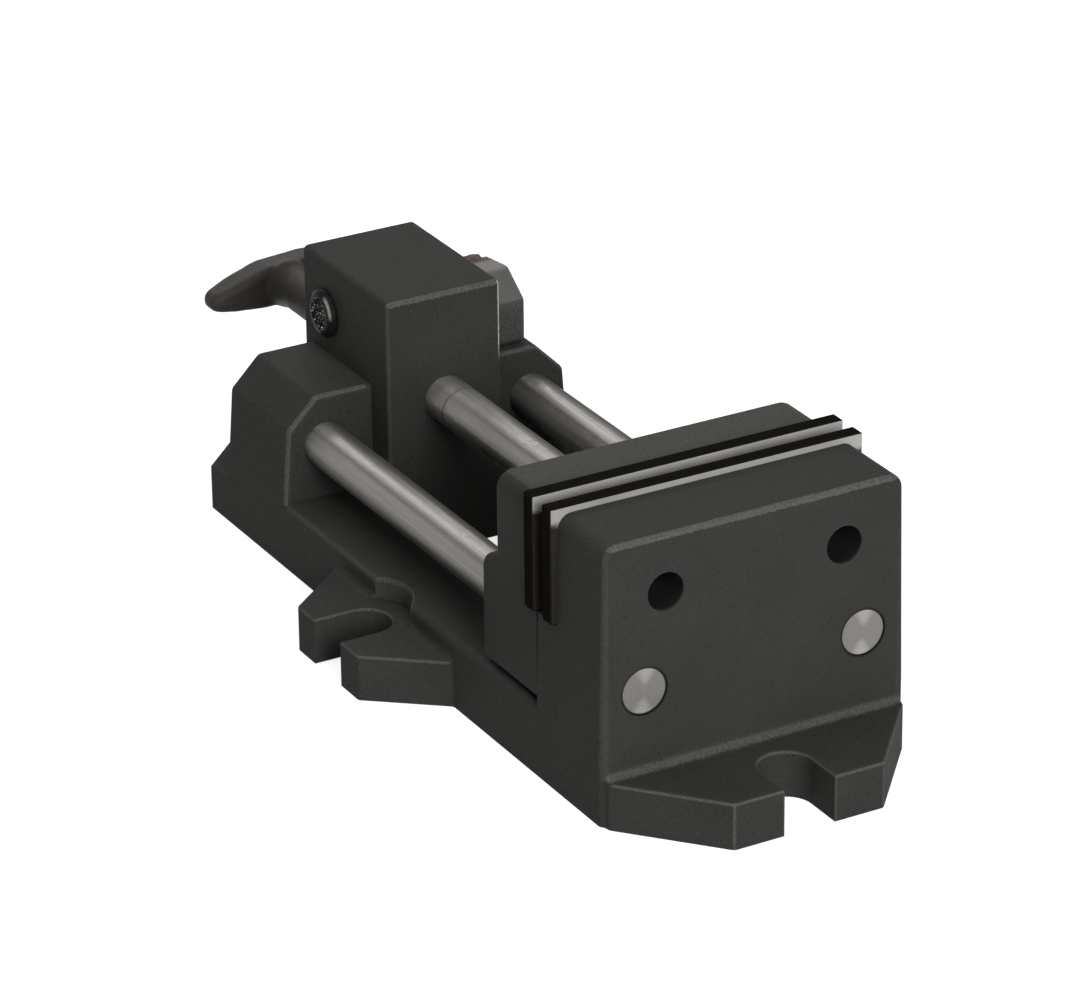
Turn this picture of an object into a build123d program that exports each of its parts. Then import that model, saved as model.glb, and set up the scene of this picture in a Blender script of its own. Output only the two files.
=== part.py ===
"""Drill press vise with two guide rods, a sliding jaw, a centre spindle and a locking lever.

The vise lies along X with the fixed jaw at the front (+X), its underside at Z = 0, and the origin on the
underside, in line with the two side bolt slots. Millimetres.
"""
from build123d import *
import os

os.makedirs("parts", exist_ok=True)

# Body, seen from above
body_width = 99.2
front_face_x = 122.0
base_rear_x = -121.0
ear_thickness = 14.5
slot_width = 16.5

# End ears and side ears
front_ear_reach = 29.4
rear_ear_reach = 25.3
end_ear_tip_width = 48.6
end_slot_depth = 20.5
side_ear_reach = 21.9
side_ear_tip_width = 38.0
side_ear_root_width = 73.4
side_slot_depth = 20.6
spotface_radius = 14.5
ear_root_inset = 1.3
ear_root_run = 12.0
ear_root_reach = 2.0
ear_root_fillet = 3.0

# Rails and the window between them
rail_top = 22.0
rail_width = 23.6

# Fixed jaw
jaw_top = 85.5
fixed_jaw_depth = 36.3
fixed_jaw_draft = 1.3
jaw_corner_radius = 4.5

# Jaw plates
plate_length = 101.6
ledge_above_rod = 5.45
plate_thickness = 5.0
plate_above_jaw = 2.0
plate_seat_gap = 0.4
work_ledge = 6.0
moving_plate_proud = 1.2
plate_edge_chamfer = 0.4

# Moving jaw
jaw_closed_gap = 0.4
moving_jaw_inset = 0.6
moving_jaw_length = 31.8
moving_jaw_upper_length = 23.3
moving_jaw_step_z = 58.0
moving_jaw_corner_radius = 5.5
spindle_boss_radius = 12.0
jaw_over_rail_gap = 2.5

# Tower and shoulders
tower_front_x = -57.3
tower_length = 55.7
tower_width = 39.0
tower_above_shaft = 17.0
tower_front_wall = 10.0
tower_rear_wall = 6.5
tower_side_wall = 7.0
tower_roof = 6.0
shoulder_front_x = -68.7
shoulder_length = 39.9
shoulder_to_hub = 5.7
shoulder_draft = 1.8
shoulder_chamfer = 9.6

# Rods and spindle
rod_diameter = 14.3
rod_edge_distance = 13.95
rod_height = 39.1
rod_end_recess = 0.3
rod_blind_wall = 8.6
slide_clearance = 0.05
press_clearance = 0.01
spindle_height = 50.65
spindle_tail_diameter = 10.0
spindle_nose_depth = 17.5
mark_groove_x = -46.5
mark_groove_width = 0.5
mark_groove_depth = 0.2
keeper_groove_width = 5.0
keeper_groove_depth = 2.2
keeper_pin_diameter = 4.4
keeper_pin_length = 29.5
keeper_pin_recess = 0.5
keeper_setback = 6.5
thrust_disc_thickness = 3.0
end_gap = 0.1
body_gap = 0.3

# Screws of the plates and of the rods
plate_screw_spacing = 57.8
plate_screw_share = 0.452
screw_hole_diameter = 11.5
screw_head_diameter = 10.0
screw_head_height = 6.0
screw_shank_diameter = 6.0
screw_hex_width = 5.0
screw_grip = 7.0
screw_thread_depth = 3.5
set_screw_diameter = 6.0
set_screw_length = 7.5
set_screw_inset = 18.0

# Cross shaft, dog and release lever
shaft_x = -97.0
shaft_above_spindle = 17.85
shaft_diameter = 10.0
dog_hub_radius = 7.6
dog_width = 21.0
dog_nose_reach = 20.0
dog_nose_thickness = 9.5
dog_nose_slope_run = 4.0
dog_nose_slope_drop = 2.0
dog_heel_chamfer = 1.0
dog_pin_diameter = 3.0
lever_hub_radius = 7.8
lever_hub_length = 15.0
lever_block_width = 16.7
lever_block_front_x = -72.2
lever_block_back_x = -91.0
lever_block_rise = 8.5
lever_slope_run = 10.0
lever_slope_drop = 7.2
lever_to_tower_gap = 0.4
lever_hub_inset = 1.0
lever_pin_diameter = 3.0
lever_pin_length = 13.0
shaft_screw_head_radius = 7.8
shaft_screw_head_height = 2.6
shaft_screw_recess_radius = 4.6
shaft_screw_length = 12.0
shaft_end_cover = 1.5

# Handle
handle_gap = 3.0
handle_boss_diameter = 15.0
handle_arm_front_x = -161.0
handle_arm_thickness = 11.0
handle_hub_radius = 9.6
handle_tip_radius = 5.7
handle_tip_reach = 22.5
handle_tilt = 7.0
handle_edge_radius = 3.2
handle_pin_diameter = 3.5
handle_pin_setback = 9.0
handle_flare_length = 7.0
handle_flare_rise = 1.6

# Casting finish
casting_fillet = 1.8
foot_fillet = 2.5
side_bend_radius = 25.0
core_wall = 7.0
core_depth = 24.0

# Lengths a cut runs on outside the metal, and how near the base an edge stays sharp
cut_margin = 1.0
rim_margin = 1.0

# Places worked out from the sizes above
half_width = body_width / 2
window_width = body_width - 2 * rail_width
fixed_jaw_top_half = half_width - fixed_jaw_draft
moving_jaw_width = body_width - 2 * moving_jaw_inset
rod_radius = rod_diameter / 2
slide_radius = rod_radius + slide_clearance
split_x = front_face_x - fixed_jaw_depth
fixed_plate_face_x = split_x + work_ledge
fixed_plate_back_x = fixed_plate_face_x + plate_thickness
plate_top = jaw_top + plate_above_jaw
ledge_z = rod_height + rod_radius + ledge_above_rod
plate_bottom = ledge_z + plate_seat_gap
plate_height = plate_top - plate_bottom
moving_front_x = split_x - jaw_closed_gap
moving_rear_x = moving_front_x - moving_jaw_length
moving_upper_rear_x = moving_front_x - moving_jaw_upper_length
moving_plate_face_x = moving_front_x + moving_plate_proud
moving_plate_back_x = moving_plate_face_x - plate_thickness
moving_bottom = rail_top + jaw_over_rail_gap
tower_rear_x = tower_front_x - tower_length
shoulder_rear_x = shoulder_front_x - shoulder_length
tower_half = tower_width / 2
shaft_height = spindle_height + shaft_above_spindle
tower_top = shaft_height + tower_above_shaft
shoulder_top = shaft_height - lever_hub_radius - shoulder_to_hub
shoulder_half = half_width - shoulder_draft
lever_block_top = shaft_height + lever_block_rise
rod_y = half_width - rod_edge_distance
rod_rear_x = shoulder_rear_x + rod_blind_wall
slot_radius = slot_width / 2
travel = moving_rear_x - tower_front_x
plate_screw_y = plate_screw_spacing / 2
plate_screw_height = plate_bottom + plate_screw_share * plate_height
set_screw_x = front_face_x - set_screw_inset
set_screw_top = rod_height - rod_radius
set_screw_hex = set_screw_diameter / 2
nose_end_x = moving_rear_x + spindle_nose_depth
nose_bore_end_x = nose_end_x + body_gap + thrust_disc_thickness
keeper_x = moving_rear_x + keeper_setback
keeper_pin_y = rod_radius - keeper_groove_depth + keeper_pin_diameter / 2 + body_gap
moving_seat_x = moving_plate_back_x - screw_grip
tail_radius = spindle_tail_diameter / 2
handle_boss_front_x = tower_rear_x - handle_gap
tail_start_x = handle_boss_front_x + end_gap
tail_end_x = handle_arm_front_x - handle_arm_thickness / 2
handle_pin_x = handle_boss_front_x - handle_pin_setback
handle_pin_length = handle_boss_diameter - 2 * plate_edge_chamfer
boss_radius = handle_boss_diameter / 2
flare_top_z = spindle_height + boss_radius + handle_flare_rise
dog_bottom = spindle_height + rod_radius + body_gap
dog_nose_x = shaft_x + dog_nose_reach
lever_inner_y = tower_half + lever_to_tower_gap
lever_block_bottom = shoulder_top + body_gap
shaft_right_y = lever_inner_y + lever_hub_length - shaft_end_cover
shaft_left_y = -tower_half + end_gap
screw_seat_y = -tower_half - body_gap
lever_pin_y = lever_inner_y + lever_hub_length / 2


def along_x(x):
    """Plane that faces +X at x, with its own X along Y and its own Y up."""
    return Plane(origin=(x, 0, 0), x_dir=(0, 1, 0), z_dir=(1, 0, 0))


def along_y(y):
    """Plane that faces -Y at y, with its own X along X and its own Y up."""
    return Plane(origin=(0, y, 0), x_dir=(1, 0, 0), z_dir=(0, -1, 0))


def finish(part, name):
    """Label the piece and write it under its name."""
    part.label = name
    export_step(part, f"parts/{name}.step")


def near(value, target):
    """Whether two sizes are the same within a hundredth of a millimetre."""
    return abs(value - target) < 0.01


# Body casting
end_tip = end_ear_tip_width / 2
front_tip_x = front_face_x + front_ear_reach
rear_tip_x = base_rear_x - rear_ear_reach
side_tip = side_ear_tip_width / 2
side_root = side_ear_root_width / 2
side_edge = half_width + side_ear_reach
root_corner = half_width - ear_root_inset
core_rear_x = tower_rear_x + tower_rear_wall
core_front_x = tower_front_x - tower_front_wall
core_half = tower_half - tower_side_wall
bore_floor_x = fixed_plate_back_x + screw_grip
spotface_y = side_edge - side_slot_depth + slot_radius
shoulder_core_width = half_width - core_wall - core_half - core_wall
shoulder_core_y = core_half + core_wall + shoulder_core_width / 2

# The casting's blocks, each rounded on its own before they are joined
with BuildPart() as foot_block:
    with BuildSketch():
        with BuildLine():
            Polyline(
                (front_tip_x, -end_tip),
                (front_tip_x, end_tip),
                (front_face_x + ear_root_reach, root_corner),
                (front_face_x - ear_root_run, half_width),
                (side_root, half_width),
                (side_tip, side_edge),
                (-side_tip, side_edge),
                (-side_root, half_width),
                (base_rear_x, half_width),
                (rear_tip_x, end_tip),
                (rear_tip_x, -end_tip),
                (base_rear_x, -half_width),
                (-side_root, -half_width),
                (-side_tip, -side_edge),
                (side_tip, -side_edge),
                (side_root, -half_width),
                (front_face_x - ear_root_run, -half_width),
                (front_face_x + ear_root_reach, -root_corner),
                close=True,
            )
        make_face()
        fillet(vertices(), casting_fillet)
        for tip_x, inward in ((front_tip_x, -1), (rear_tip_x, 1)):
            arc_x = tip_x + inward * (end_slot_depth - slot_radius)
            with Locations((arc_x, 0)):
                Circle(slot_radius, mode=Mode.SUBTRACT)
            with Locations(((arc_x + tip_x) / 2, 0)):
                Rectangle(abs(tip_x - arc_x), slot_width, mode=Mode.SUBTRACT)
        for side in (-1, 1):
            arc_y = side * (side_edge - side_slot_depth + slot_radius)
            with Locations((0, arc_y)):
                Circle(slot_radius, mode=Mode.SUBTRACT)
            with Locations((0, (arc_y + side * side_edge) / 2)):
                Rectangle(slot_width, abs(side_edge - abs(arc_y)), mode=Mode.SUBTRACT)
    extrude(amount=ear_thickness)
    fillet(edges().group_by(Axis.Z)[-1], casting_fillet / 2)

with BuildPart() as rail_block:
    with BuildSketch(along_x(shoulder_rear_x + casting_fillet)):
        with Locations((0, rail_top / 2)):
            Rectangle(body_width, rail_top)
        fillet(vertices().group_by(Axis.Y)[-1], foot_fillet)
    extrude(amount=front_face_x - shoulder_rear_x - 2 * casting_fillet)

with BuildPart() as jaw_block:
    with BuildSketch(along_x(split_x)):
        with BuildLine():
            Polyline(
                (-half_width, 0),
                (half_width, 0),
                (half_width, rail_top),
                (fixed_jaw_top_half, jaw_top),
                (-fixed_jaw_top_half, jaw_top),
                (-half_width, rail_top),
                close=True,
            )
        make_face()
        fillet(vertices().group_by(Axis.Y)[1], side_bend_radius)
        fillet(vertices().group_by(Axis.Y)[-1], jaw_corner_radius)
    extrude(amount=fixed_jaw_depth)
    front_rim = faces().sort_by(Axis.X)[-1].edges()
    fillet(front_rim.filter_by(lambda edge: edge.center().Z > rim_margin), casting_fillet)
    rear_rim = faces().sort_by(Axis.X)[0].edges()
    fillet(rear_rim.filter_by(lambda edge: edge.center().Z > rim_margin), casting_fillet / 3)

with BuildPart() as shoulder_block:
    with BuildSketch(along_x(shoulder_rear_x)):
        with BuildLine():
            Polyline(
                (-half_width, 0),
                (half_width, 0),
                (half_width, rail_top),
                (shoulder_half, shoulder_top - shoulder_chamfer),
                (shoulder_half - shoulder_chamfer, shoulder_top),
                (-shoulder_half + shoulder_chamfer, shoulder_top),
                (-shoulder_half, shoulder_top - shoulder_chamfer),
                (-half_width, rail_top),
                close=True,
            )
        make_face()
        fillet(vertices().group_by(Axis.Y)[1], side_bend_radius)
        fillet(vertices().filter_by(lambda corner: corner.Y > rail_top + foot_fillet), foot_fillet)
    extrude(amount=shoulder_length)
    shoulder_rims = faces().sort_by(Axis.X)[-1].edges() + faces().sort_by(Axis.X)[0].edges()
    fillet(shoulder_rims.filter_by(lambda edge: edge.center().Z > rim_margin), casting_fillet)

with BuildPart() as tower_block:
    with BuildSketch():
        with Locations(((tower_front_x + tower_rear_x) / 2, 0)):
            Rectangle(tower_length, tower_width)
        fillet(vertices(), casting_fillet)
    extrude(amount=tower_top)
    fillet(edges().group_by(Axis.Z)[-1], casting_fillet)

with BuildPart() as body_casting:
    add(foot_block.part)
    add(rail_block.part)
    add(jaw_block.part)
    add(shoulder_block.part)
    add(tower_block.part)

    # Rounded feet of the walls above the ears
    side_feet = edges().filter_by(Axis.X).filter_by(
        lambda edge: near(edge.center().Z, ear_thickness)
        and abs(edge.center().X) < side_root
        and near(abs(edge.center().Y), half_width)
    )
    fillet(side_feet, foot_fillet)
    front_foot = edges().filter_by(Axis.Y).filter_by(
        lambda edge: near(edge.center().Z, ear_thickness) and near(edge.center().X, front_face_x)
    )
    fillet(front_foot, ear_root_fillet)

    # Window between the rails
    with BuildSketch():
        with Locations(((split_x + tower_front_x) / 2, 0)):
            Rectangle(split_x - tower_front_x, window_width)
    extrude(amount=rail_top, mode=Mode.SUBTRACT)

    # Seat of the fixed plate, with the work ledge in front of it
    with BuildSketch(Plane.XY.offset(ledge_z)):
        with Locations(((split_x + fixed_plate_back_x) / 2, 0)):
            Rectangle(fixed_plate_back_x - split_x, body_width + 2 * cut_margin)
    extrude(amount=jaw_top - ledge_z, mode=Mode.SUBTRACT)

    # Spot faces for the bolt heads over the side slots
    with BuildSketch(Plane.XY.offset(ear_thickness)):
        with Locations((0, -spotface_y), (0, spotface_y)):
            Circle(spotface_radius)
    extrude(amount=rail_top, mode=Mode.SUBTRACT)

    # Cavity of the tower, open below, and the cores of the thick walls
    with BuildSketch():
        with Locations(((core_front_x + core_rear_x) / 2, 0)):
            Rectangle(core_front_x - core_rear_x, 2 * core_half)
        fillet(vertices(), casting_fillet)
    extrude(amount=tower_top - tower_roof, mode=Mode.SUBTRACT)
    with BuildSketch():
        with Locations(((split_x + front_face_x) / 2, 0)):
            RectangleRounded(fixed_jaw_depth - 2 * core_wall, body_width - 2 * core_wall, foot_fillet)
        for side in (-1, 1):
            with Locations(((shoulder_front_x + shoulder_rear_x) / 2, side * shoulder_core_y)):
                RectangleRounded(shoulder_length - 2 * core_wall, shoulder_core_width, foot_fillet)
    extrude(amount=core_depth, mode=Mode.SUBTRACT)

    # Guide rod bores, open at the front face and blind at the back
    with BuildSketch(along_x(rod_rear_x - end_gap)):
        with Locations((-rod_y, rod_height), (rod_y, rod_height)):
            Circle(rod_radius + press_clearance)
    extrude(amount=front_face_x - rod_rear_x + cut_margin, mode=Mode.SUBTRACT)

    # Spindle bore through both walls of the tower
    with BuildSketch(along_x(tower_rear_x - cut_margin)):
        with Locations((0, spindle_height)):
            Circle(slide_radius)
    extrude(amount=tower_length + 2 * cut_margin, mode=Mode.SUBTRACT)

    # Cross shaft bore through both sides of the tower
    with BuildSketch(along_y(tower_half + cut_margin)):
        with Locations((shaft_x, shaft_height)):
            Circle(shaft_diameter / 2 + slide_clearance)
    extrude(amount=tower_width + 2 * cut_margin, mode=Mode.SUBTRACT)

    # Deep screw holes of the fixed plate, and the tapped holes of the rod set screws
    with BuildSketch(along_x(bore_floor_x)):
        with Locations((-plate_screw_y, plate_screw_height), (plate_screw_y, plate_screw_height)):
            Circle(screw_hole_diameter / 2)
    extrude(amount=front_face_x - bore_floor_x + cut_margin, mode=Mode.SUBTRACT)
    with BuildSketch(along_x(fixed_plate_back_x - cut_margin)):
        with Locations((-plate_screw_y, plate_screw_height), (plate_screw_y, plate_screw_height)):
            Circle(screw_shank_diameter / 2 + press_clearance)
    extrude(amount=screw_grip + 2 * cut_margin, mode=Mode.SUBTRACT)
    with BuildSketch():
        with Locations((set_screw_x, -rod_y), (set_screw_x, rod_y)):
            Circle(set_screw_diameter / 2 + press_clearance)
    extrude(amount=rod_height, mode=Mode.SUBTRACT)
finish(body_casting.part, "body_casting")


# Guide rods
def guide_rod(side):
    """Ground rod on one side of the vise, with a small chamfer at each end."""
    front_x = front_face_x - rod_end_recess
    with BuildPart() as rod:
        with BuildSketch(along_x(rod_rear_x)):
            with Locations((side * rod_y, rod_height)):
                Circle(rod_radius)
        extrude(amount=front_x - rod_rear_x)
        chamfer(edges().filter_by(GeomType.CIRCLE), plate_edge_chamfer)
    return rod.part


finish(guide_rod(-1), "guide_rod_left")
finish(guide_rod(1), "guide_rod_right")

# Set screws under the guide rods
with BuildPart() as rod_set_screws:
    with BuildSketch(Plane.XY.offset(set_screw_top - set_screw_length)):
        with Locations((set_screw_x, -rod_y), (set_screw_x, rod_y)):
            Circle(set_screw_diameter / 2)
            RegularPolygon(set_screw_hex / 2, 6, major_radius=False, mode=Mode.SUBTRACT)
    extrude(amount=set_screw_length / 2)
    with BuildSketch(Plane.XY.offset(set_screw_top - set_screw_length / 2)):
        with Locations((set_screw_x, -rod_y), (set_screw_x, rod_y)):
            Circle(set_screw_diameter / 2)
    extrude(amount=set_screw_length / 2)
finish(rod_set_screws.part, "rod_set_screws")


def jaw_plate(face_x, back_x):
    """Ground plate between two X places, with blind tapped holes on the side of its back."""
    low_x = min(face_x, back_x)
    drill = 1 if face_x > back_x else -1
    with BuildPart() as plate:
        with BuildSketch(along_x(low_x)):
            with Locations((0, (plate_top + plate_bottom) / 2)):
                Rectangle(plate_length, plate_height)
        extrude(amount=plate_thickness)
        chamfer(edges().filter_by(GeomType.LINE), plate_edge_chamfer)
        with BuildSketch(along_x(back_x)):
            with Locations((-plate_screw_y, plate_screw_height), (plate_screw_y, plate_screw_height)):
                Circle(screw_shank_diameter / 2 + press_clearance)
        extrude(amount=drill * (screw_thread_depth + end_gap), mode=Mode.SUBTRACT)
    return plate.part


finish(jaw_plate(fixed_plate_face_x, fixed_plate_back_x), "fixed_jaw_plate")
finish(jaw_plate(moving_plate_face_x, moving_plate_back_x), "moving_jaw_plate")


def plate_screws(seat_x, toward):
    """Pair of socket head cap screws: heads on the seat at seat_x, shanks running towards the plate."""
    with BuildPart() as screws:
        places = Locations((-plate_screw_y, plate_screw_height), (plate_screw_y, plate_screw_height))
        with BuildSketch(along_x(seat_x)):
            with places:
                Circle(screw_head_diameter / 2)
        extrude(amount=-toward * screw_head_height)
        fillet(edges().group_by(Axis.X)[0 if toward > 0 else -1], plate_edge_chamfer)
        with BuildSketch(along_x(seat_x - toward * screw_head_height)):
            with places:
                RegularPolygon(screw_hex_width / 2, 6, major_radius=False)
        extrude(amount=toward * screw_head_height / 2, mode=Mode.SUBTRACT)
        with BuildSketch(along_x(seat_x)):
            with places:
                Circle(screw_shank_diameter / 2)
        extrude(amount=toward * (screw_grip + screw_thread_depth))
    return screws.part


finish(plate_screws(bore_floor_x, -1), "fixed_plate_screws")

# Moving jaw
with BuildPart() as jaw_slide_block:
    with BuildSketch(along_x(moving_rear_x)):
        with Locations((0, (moving_jaw_step_z + moving_bottom) / 2)):
            Rectangle(moving_jaw_width, moving_jaw_step_z - moving_bottom)
    extrude(amount=moving_jaw_length)
    fillet(edges().filter_by(Axis.Y).group_by(Axis.X)[0].sort_by(Axis.Z)[-1], moving_jaw_corner_radius)
    fillet(edges().filter_by(Axis.Z).group_by(Axis.X)[0], casting_fillet)
    bottom_rim = faces().sort_by(Axis.Z)[0].edges()
    bottom_rim = bottom_rim.filter_by(lambda edge: edge.center().X < moving_front_x - rim_margin)
    fillet(bottom_rim, casting_fillet / 2)

with BuildPart() as jaw_face_block:
    with BuildSketch(along_x(moving_upper_rear_x)):
        with Locations((0, (jaw_top + moving_bottom + foot_fillet) / 2)):
            Rectangle(moving_jaw_width, jaw_top - moving_bottom - foot_fillet)
        fillet(vertices().group_by(Axis.Y)[-1], moving_jaw_corner_radius)
    extrude(amount=moving_jaw_upper_length)
    rim_bottom = moving_bottom + casting_fillet + foot_fillet
    upper_rear_rim = faces().sort_by(Axis.X)[0].edges()
    fillet(upper_rear_rim.filter_by(lambda edge: edge.center().Z > rim_bottom), casting_fillet)

with BuildPart() as moving_jaw:
    add(jaw_slide_block.part)
    add(jaw_face_block.part)

    # Boss that keeps metal over the spindle bore under the step
    with BuildSketch(along_x(moving_rear_x)):
        with Locations((0, spindle_height)):
            Circle(spindle_boss_radius)
    extrude(amount=moving_jaw_length - moving_jaw_upper_length + casting_fillet)

    # Seat of the moving plate
    with BuildSketch(Plane.XY.offset(ledge_z)):
        with Locations(((moving_plate_back_x + moving_front_x) / 2, 0)):
            Rectangle(moving_front_x - moving_plate_back_x, body_width)
    extrude(amount=jaw_top - ledge_z, mode=Mode.SUBTRACT)

    # Guide rod bores, spindle bore and thrust disc seat
    with BuildSketch(along_x(moving_rear_x - cut_margin)):
        with Locations((-rod_y, rod_height), (rod_y, rod_height)):
            Circle(slide_radius)
    extrude(amount=moving_jaw_length + 2 * cut_margin, mode=Mode.SUBTRACT)
    with BuildSketch(along_x(moving_rear_x - cut_margin)):
        with Locations((0, spindle_height)):
            Circle(slide_radius)
    extrude(amount=nose_bore_end_x - moving_rear_x + cut_margin, mode=Mode.SUBTRACT)

    # Upright bores of the keeper pins
    with BuildSketch(Plane.XY.offset(moving_bottom - cut_margin)):
        with Locations((keeper_x, -keeper_pin_y), (keeper_x, keeper_pin_y)):
            Circle(keeper_pin_diameter / 2 + press_clearance)
    extrude(amount=keeper_pin_length + cut_margin + keeper_pin_recess + end_gap, mode=Mode.SUBTRACT)

    # Screw holes of the moving plate
    with BuildSketch(along_x(moving_seat_x)):
        with Locations((-plate_screw_y, plate_screw_height), (plate_screw_y, plate_screw_height)):
            Circle(screw_hole_diameter / 2)
    extrude(amount=moving_rear_x - moving_seat_x, mode=Mode.SUBTRACT)
    with BuildSketch(along_x(moving_seat_x - cut_margin)):
        with Locations((-plate_screw_y, plate_screw_height), (plate_screw_y, plate_screw_height)):
            Circle(screw_shank_diameter / 2 + press_clearance)
    extrude(amount=screw_grip + 2 * cut_margin, mode=Mode.SUBTRACT)
finish(moving_jaw.part, "moving_jaw")
finish(plate_screws(moving_seat_x, 1), "moving_plate_screws")

# Keeper pins and thrust disc of the spindle
with BuildPart() as spindle_keeper_pins:
    with BuildSketch(Plane.XY.offset(moving_bottom + keeper_pin_recess)):
        with Locations((keeper_x, -keeper_pin_y), (keeper_x, keeper_pin_y)):
            Circle(keeper_pin_diameter / 2)
    extrude(amount=keeper_pin_length)
    chamfer(edges().filter_by(GeomType.CIRCLE), plate_edge_chamfer)
finish(spindle_keeper_pins.part, "spindle_keeper_pins")

with BuildPart() as thrust_disc:
    with BuildSketch(along_x(nose_bore_end_x - thrust_disc_thickness)):
        with Locations((0, spindle_height)):
            Circle(rod_radius)
    extrude(amount=thrust_disc_thickness)
    chamfer(edges().filter_by(GeomType.CIRCLE), plate_edge_chamfer)
finish(thrust_disc.part, "thrust_disc")

# Spindle, turned in one piece: keeper groove, mark groove and the tail for the handle
with BuildPart() as spindle:
    with BuildSketch(Plane.XZ) as spindle_section:
        with BuildLine():
            Polyline(
                (tail_end_x, spindle_height),
                (tail_end_x, spindle_height + tail_radius - plate_edge_chamfer),
                (tail_end_x + plate_edge_chamfer, spindle_height + tail_radius),
                (tail_start_x, spindle_height + tail_radius),
                (tail_start_x, spindle_height + rod_radius - plate_edge_chamfer),
                (tail_start_x + plate_edge_chamfer, spindle_height + rod_radius),
                (mark_groove_x - mark_groove_width / 2, spindle_height + rod_radius),
                (mark_groove_x, spindle_height + rod_radius - mark_groove_depth),
                (mark_groove_x + mark_groove_width / 2, spindle_height + rod_radius),
                (keeper_x - keeper_groove_width / 2, spindle_height + rod_radius),
                (keeper_x - keeper_groove_width / 2, spindle_height + rod_radius - keeper_groove_depth),
                (keeper_x + keeper_groove_width / 2, spindle_height + rod_radius - keeper_groove_depth),
                (keeper_x + keeper_groove_width / 2, spindle_height + rod_radius),
                (nose_end_x - plate_edge_chamfer, spindle_height + rod_radius),
                (nose_end_x, spindle_height + rod_radius - plate_edge_chamfer),
                (nose_end_x, spindle_height),
                close=True,
            )
        make_face()
    revolve(axis=Axis((0, 0, spindle_height), (1, 0, 0)))
    with BuildSketch(Plane.XZ):
        with Locations((handle_pin_x, spindle_height)):
            Circle(handle_pin_diameter / 2 + press_clearance)
    extrude(amount=rod_diameter, both=True, mode=Mode.SUBTRACT)
finish(spindle.part, "spindle")

# Handle: a long boss and two wings, cast in one piece
with BuildPart() as handle:
    with BuildSketch(along_x(handle_arm_front_x - handle_arm_thickness)):
        with Locations(Location((0, spindle_height, 0), (0, 0, handle_tilt))):
            Circle(handle_hub_radius)
            with Locations((-handle_tip_reach, 0), (handle_tip_reach, 0)):
                Circle(handle_tip_radius)
        make_hull()
    extrude(amount=handle_arm_thickness)
    fillet(edges(), handle_edge_radius)
    with BuildSketch(Plane.XZ):
        with BuildLine():
            Line((tail_end_x, spindle_height), (tail_end_x, flare_top_z))
            Line((tail_end_x, flare_top_z), (handle_arm_front_x, flare_top_z))
            flare = TangentArc(
                (handle_arm_front_x + handle_flare_length, spindle_height + boss_radius),
                (handle_arm_front_x, flare_top_z),
                tangent=(-1, 0),
            )
            Polyline(
                flare @ 0,
                (handle_boss_front_x - casting_fillet / 2, spindle_height + boss_radius),
                (handle_boss_front_x, spindle_height + boss_radius - casting_fillet / 2),
                (handle_boss_front_x, spindle_height),
                (tail_end_x, spindle_height),
            )
        make_face()
    revolve(axis=Axis((0, 0, spindle_height), (1, 0, 0)))
    with BuildSketch(along_x(tail_end_x - end_gap)):
        with Locations((0, spindle_height)):
            Circle(tail_radius + press_clearance)
    extrude(amount=handle_boss_front_x - tail_end_x + cut_margin, mode=Mode.SUBTRACT)
    with BuildSketch(Plane.XZ):
        with Locations((handle_pin_x, spindle_height)):
            Circle(handle_pin_diameter / 2 + press_clearance)
    extrude(amount=rod_diameter, both=True, mode=Mode.SUBTRACT)
finish(handle.part, "handle")

with BuildPart() as handle_pin:
    with BuildSketch(Plane.XZ.offset(-handle_pin_length / 2)):
        with Locations((handle_pin_x, spindle_height)):
            Circle(handle_pin_diameter / 2)
    extrude(amount=handle_pin_length)
    chamfer(edges().filter_by(GeomType.CIRCLE), plate_edge_chamfer)
finish(handle_pin.part, "handle_pin")

# Cross shaft with its tapped left end
with BuildPart() as cross_shaft:
    with BuildSketch(along_y(shaft_right_y)):
        with Locations((shaft_x, shaft_height)):
            Circle(shaft_diameter / 2)
    extrude(amount=shaft_right_y - shaft_left_y)
    chamfer(edges().filter_by(GeomType.CIRCLE), plate_edge_chamfer)
    with BuildSketch(along_y(shaft_left_y + shaft_screw_length + end_gap)):
        with Locations((shaft_x, shaft_height)):
            Circle(screw_shank_diameter / 2 + press_clearance)
    extrude(amount=shaft_screw_length + cut_margin, mode=Mode.SUBTRACT)
    with BuildSketch(Plane.XY.offset(shaft_height - shaft_diameter)):
        with Locations((shaft_x, 0)):
            Circle(dog_pin_diameter / 2 + press_clearance)
    extrude(amount=2 * shaft_diameter, mode=Mode.SUBTRACT)
    with BuildSketch(along_x(shaft_x - lever_hub_radius)):
        with Locations((lever_pin_y, shaft_height)):
            Circle(lever_pin_diameter / 2 + press_clearance)
    extrude(amount=lever_pin_length + end_gap, mode=Mode.SUBTRACT)
finish(cross_shaft.part, "cross_shaft")

with BuildPart() as shaft_screw:
    with BuildSketch(along_y(screw_seat_y)):
        with Locations((shaft_x, shaft_height)):
            Circle(shaft_screw_head_radius)
    extrude(amount=shaft_screw_head_height)
    fillet(edges().group_by(Axis.Y)[0], shaft_screw_head_height * 0.6)
    with BuildSketch(along_y(screw_seat_y - shaft_screw_head_height)):
        with Locations((shaft_x, shaft_height)):
            RegularPolygon(shaft_screw_recess_radius, 6, major_radius=False)
    extrude(amount=-shaft_screw_head_height / 2, mode=Mode.SUBTRACT)
    with BuildSketch(along_y(shaft_left_y + shaft_screw_length)):
        with Locations((shaft_x, shaft_height)):
            Circle(screw_shank_diameter / 2)
    extrude(amount=shaft_left_y + shaft_screw_length - screw_seat_y)
finish(shaft_screw.part, "shaft_screw")

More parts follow.
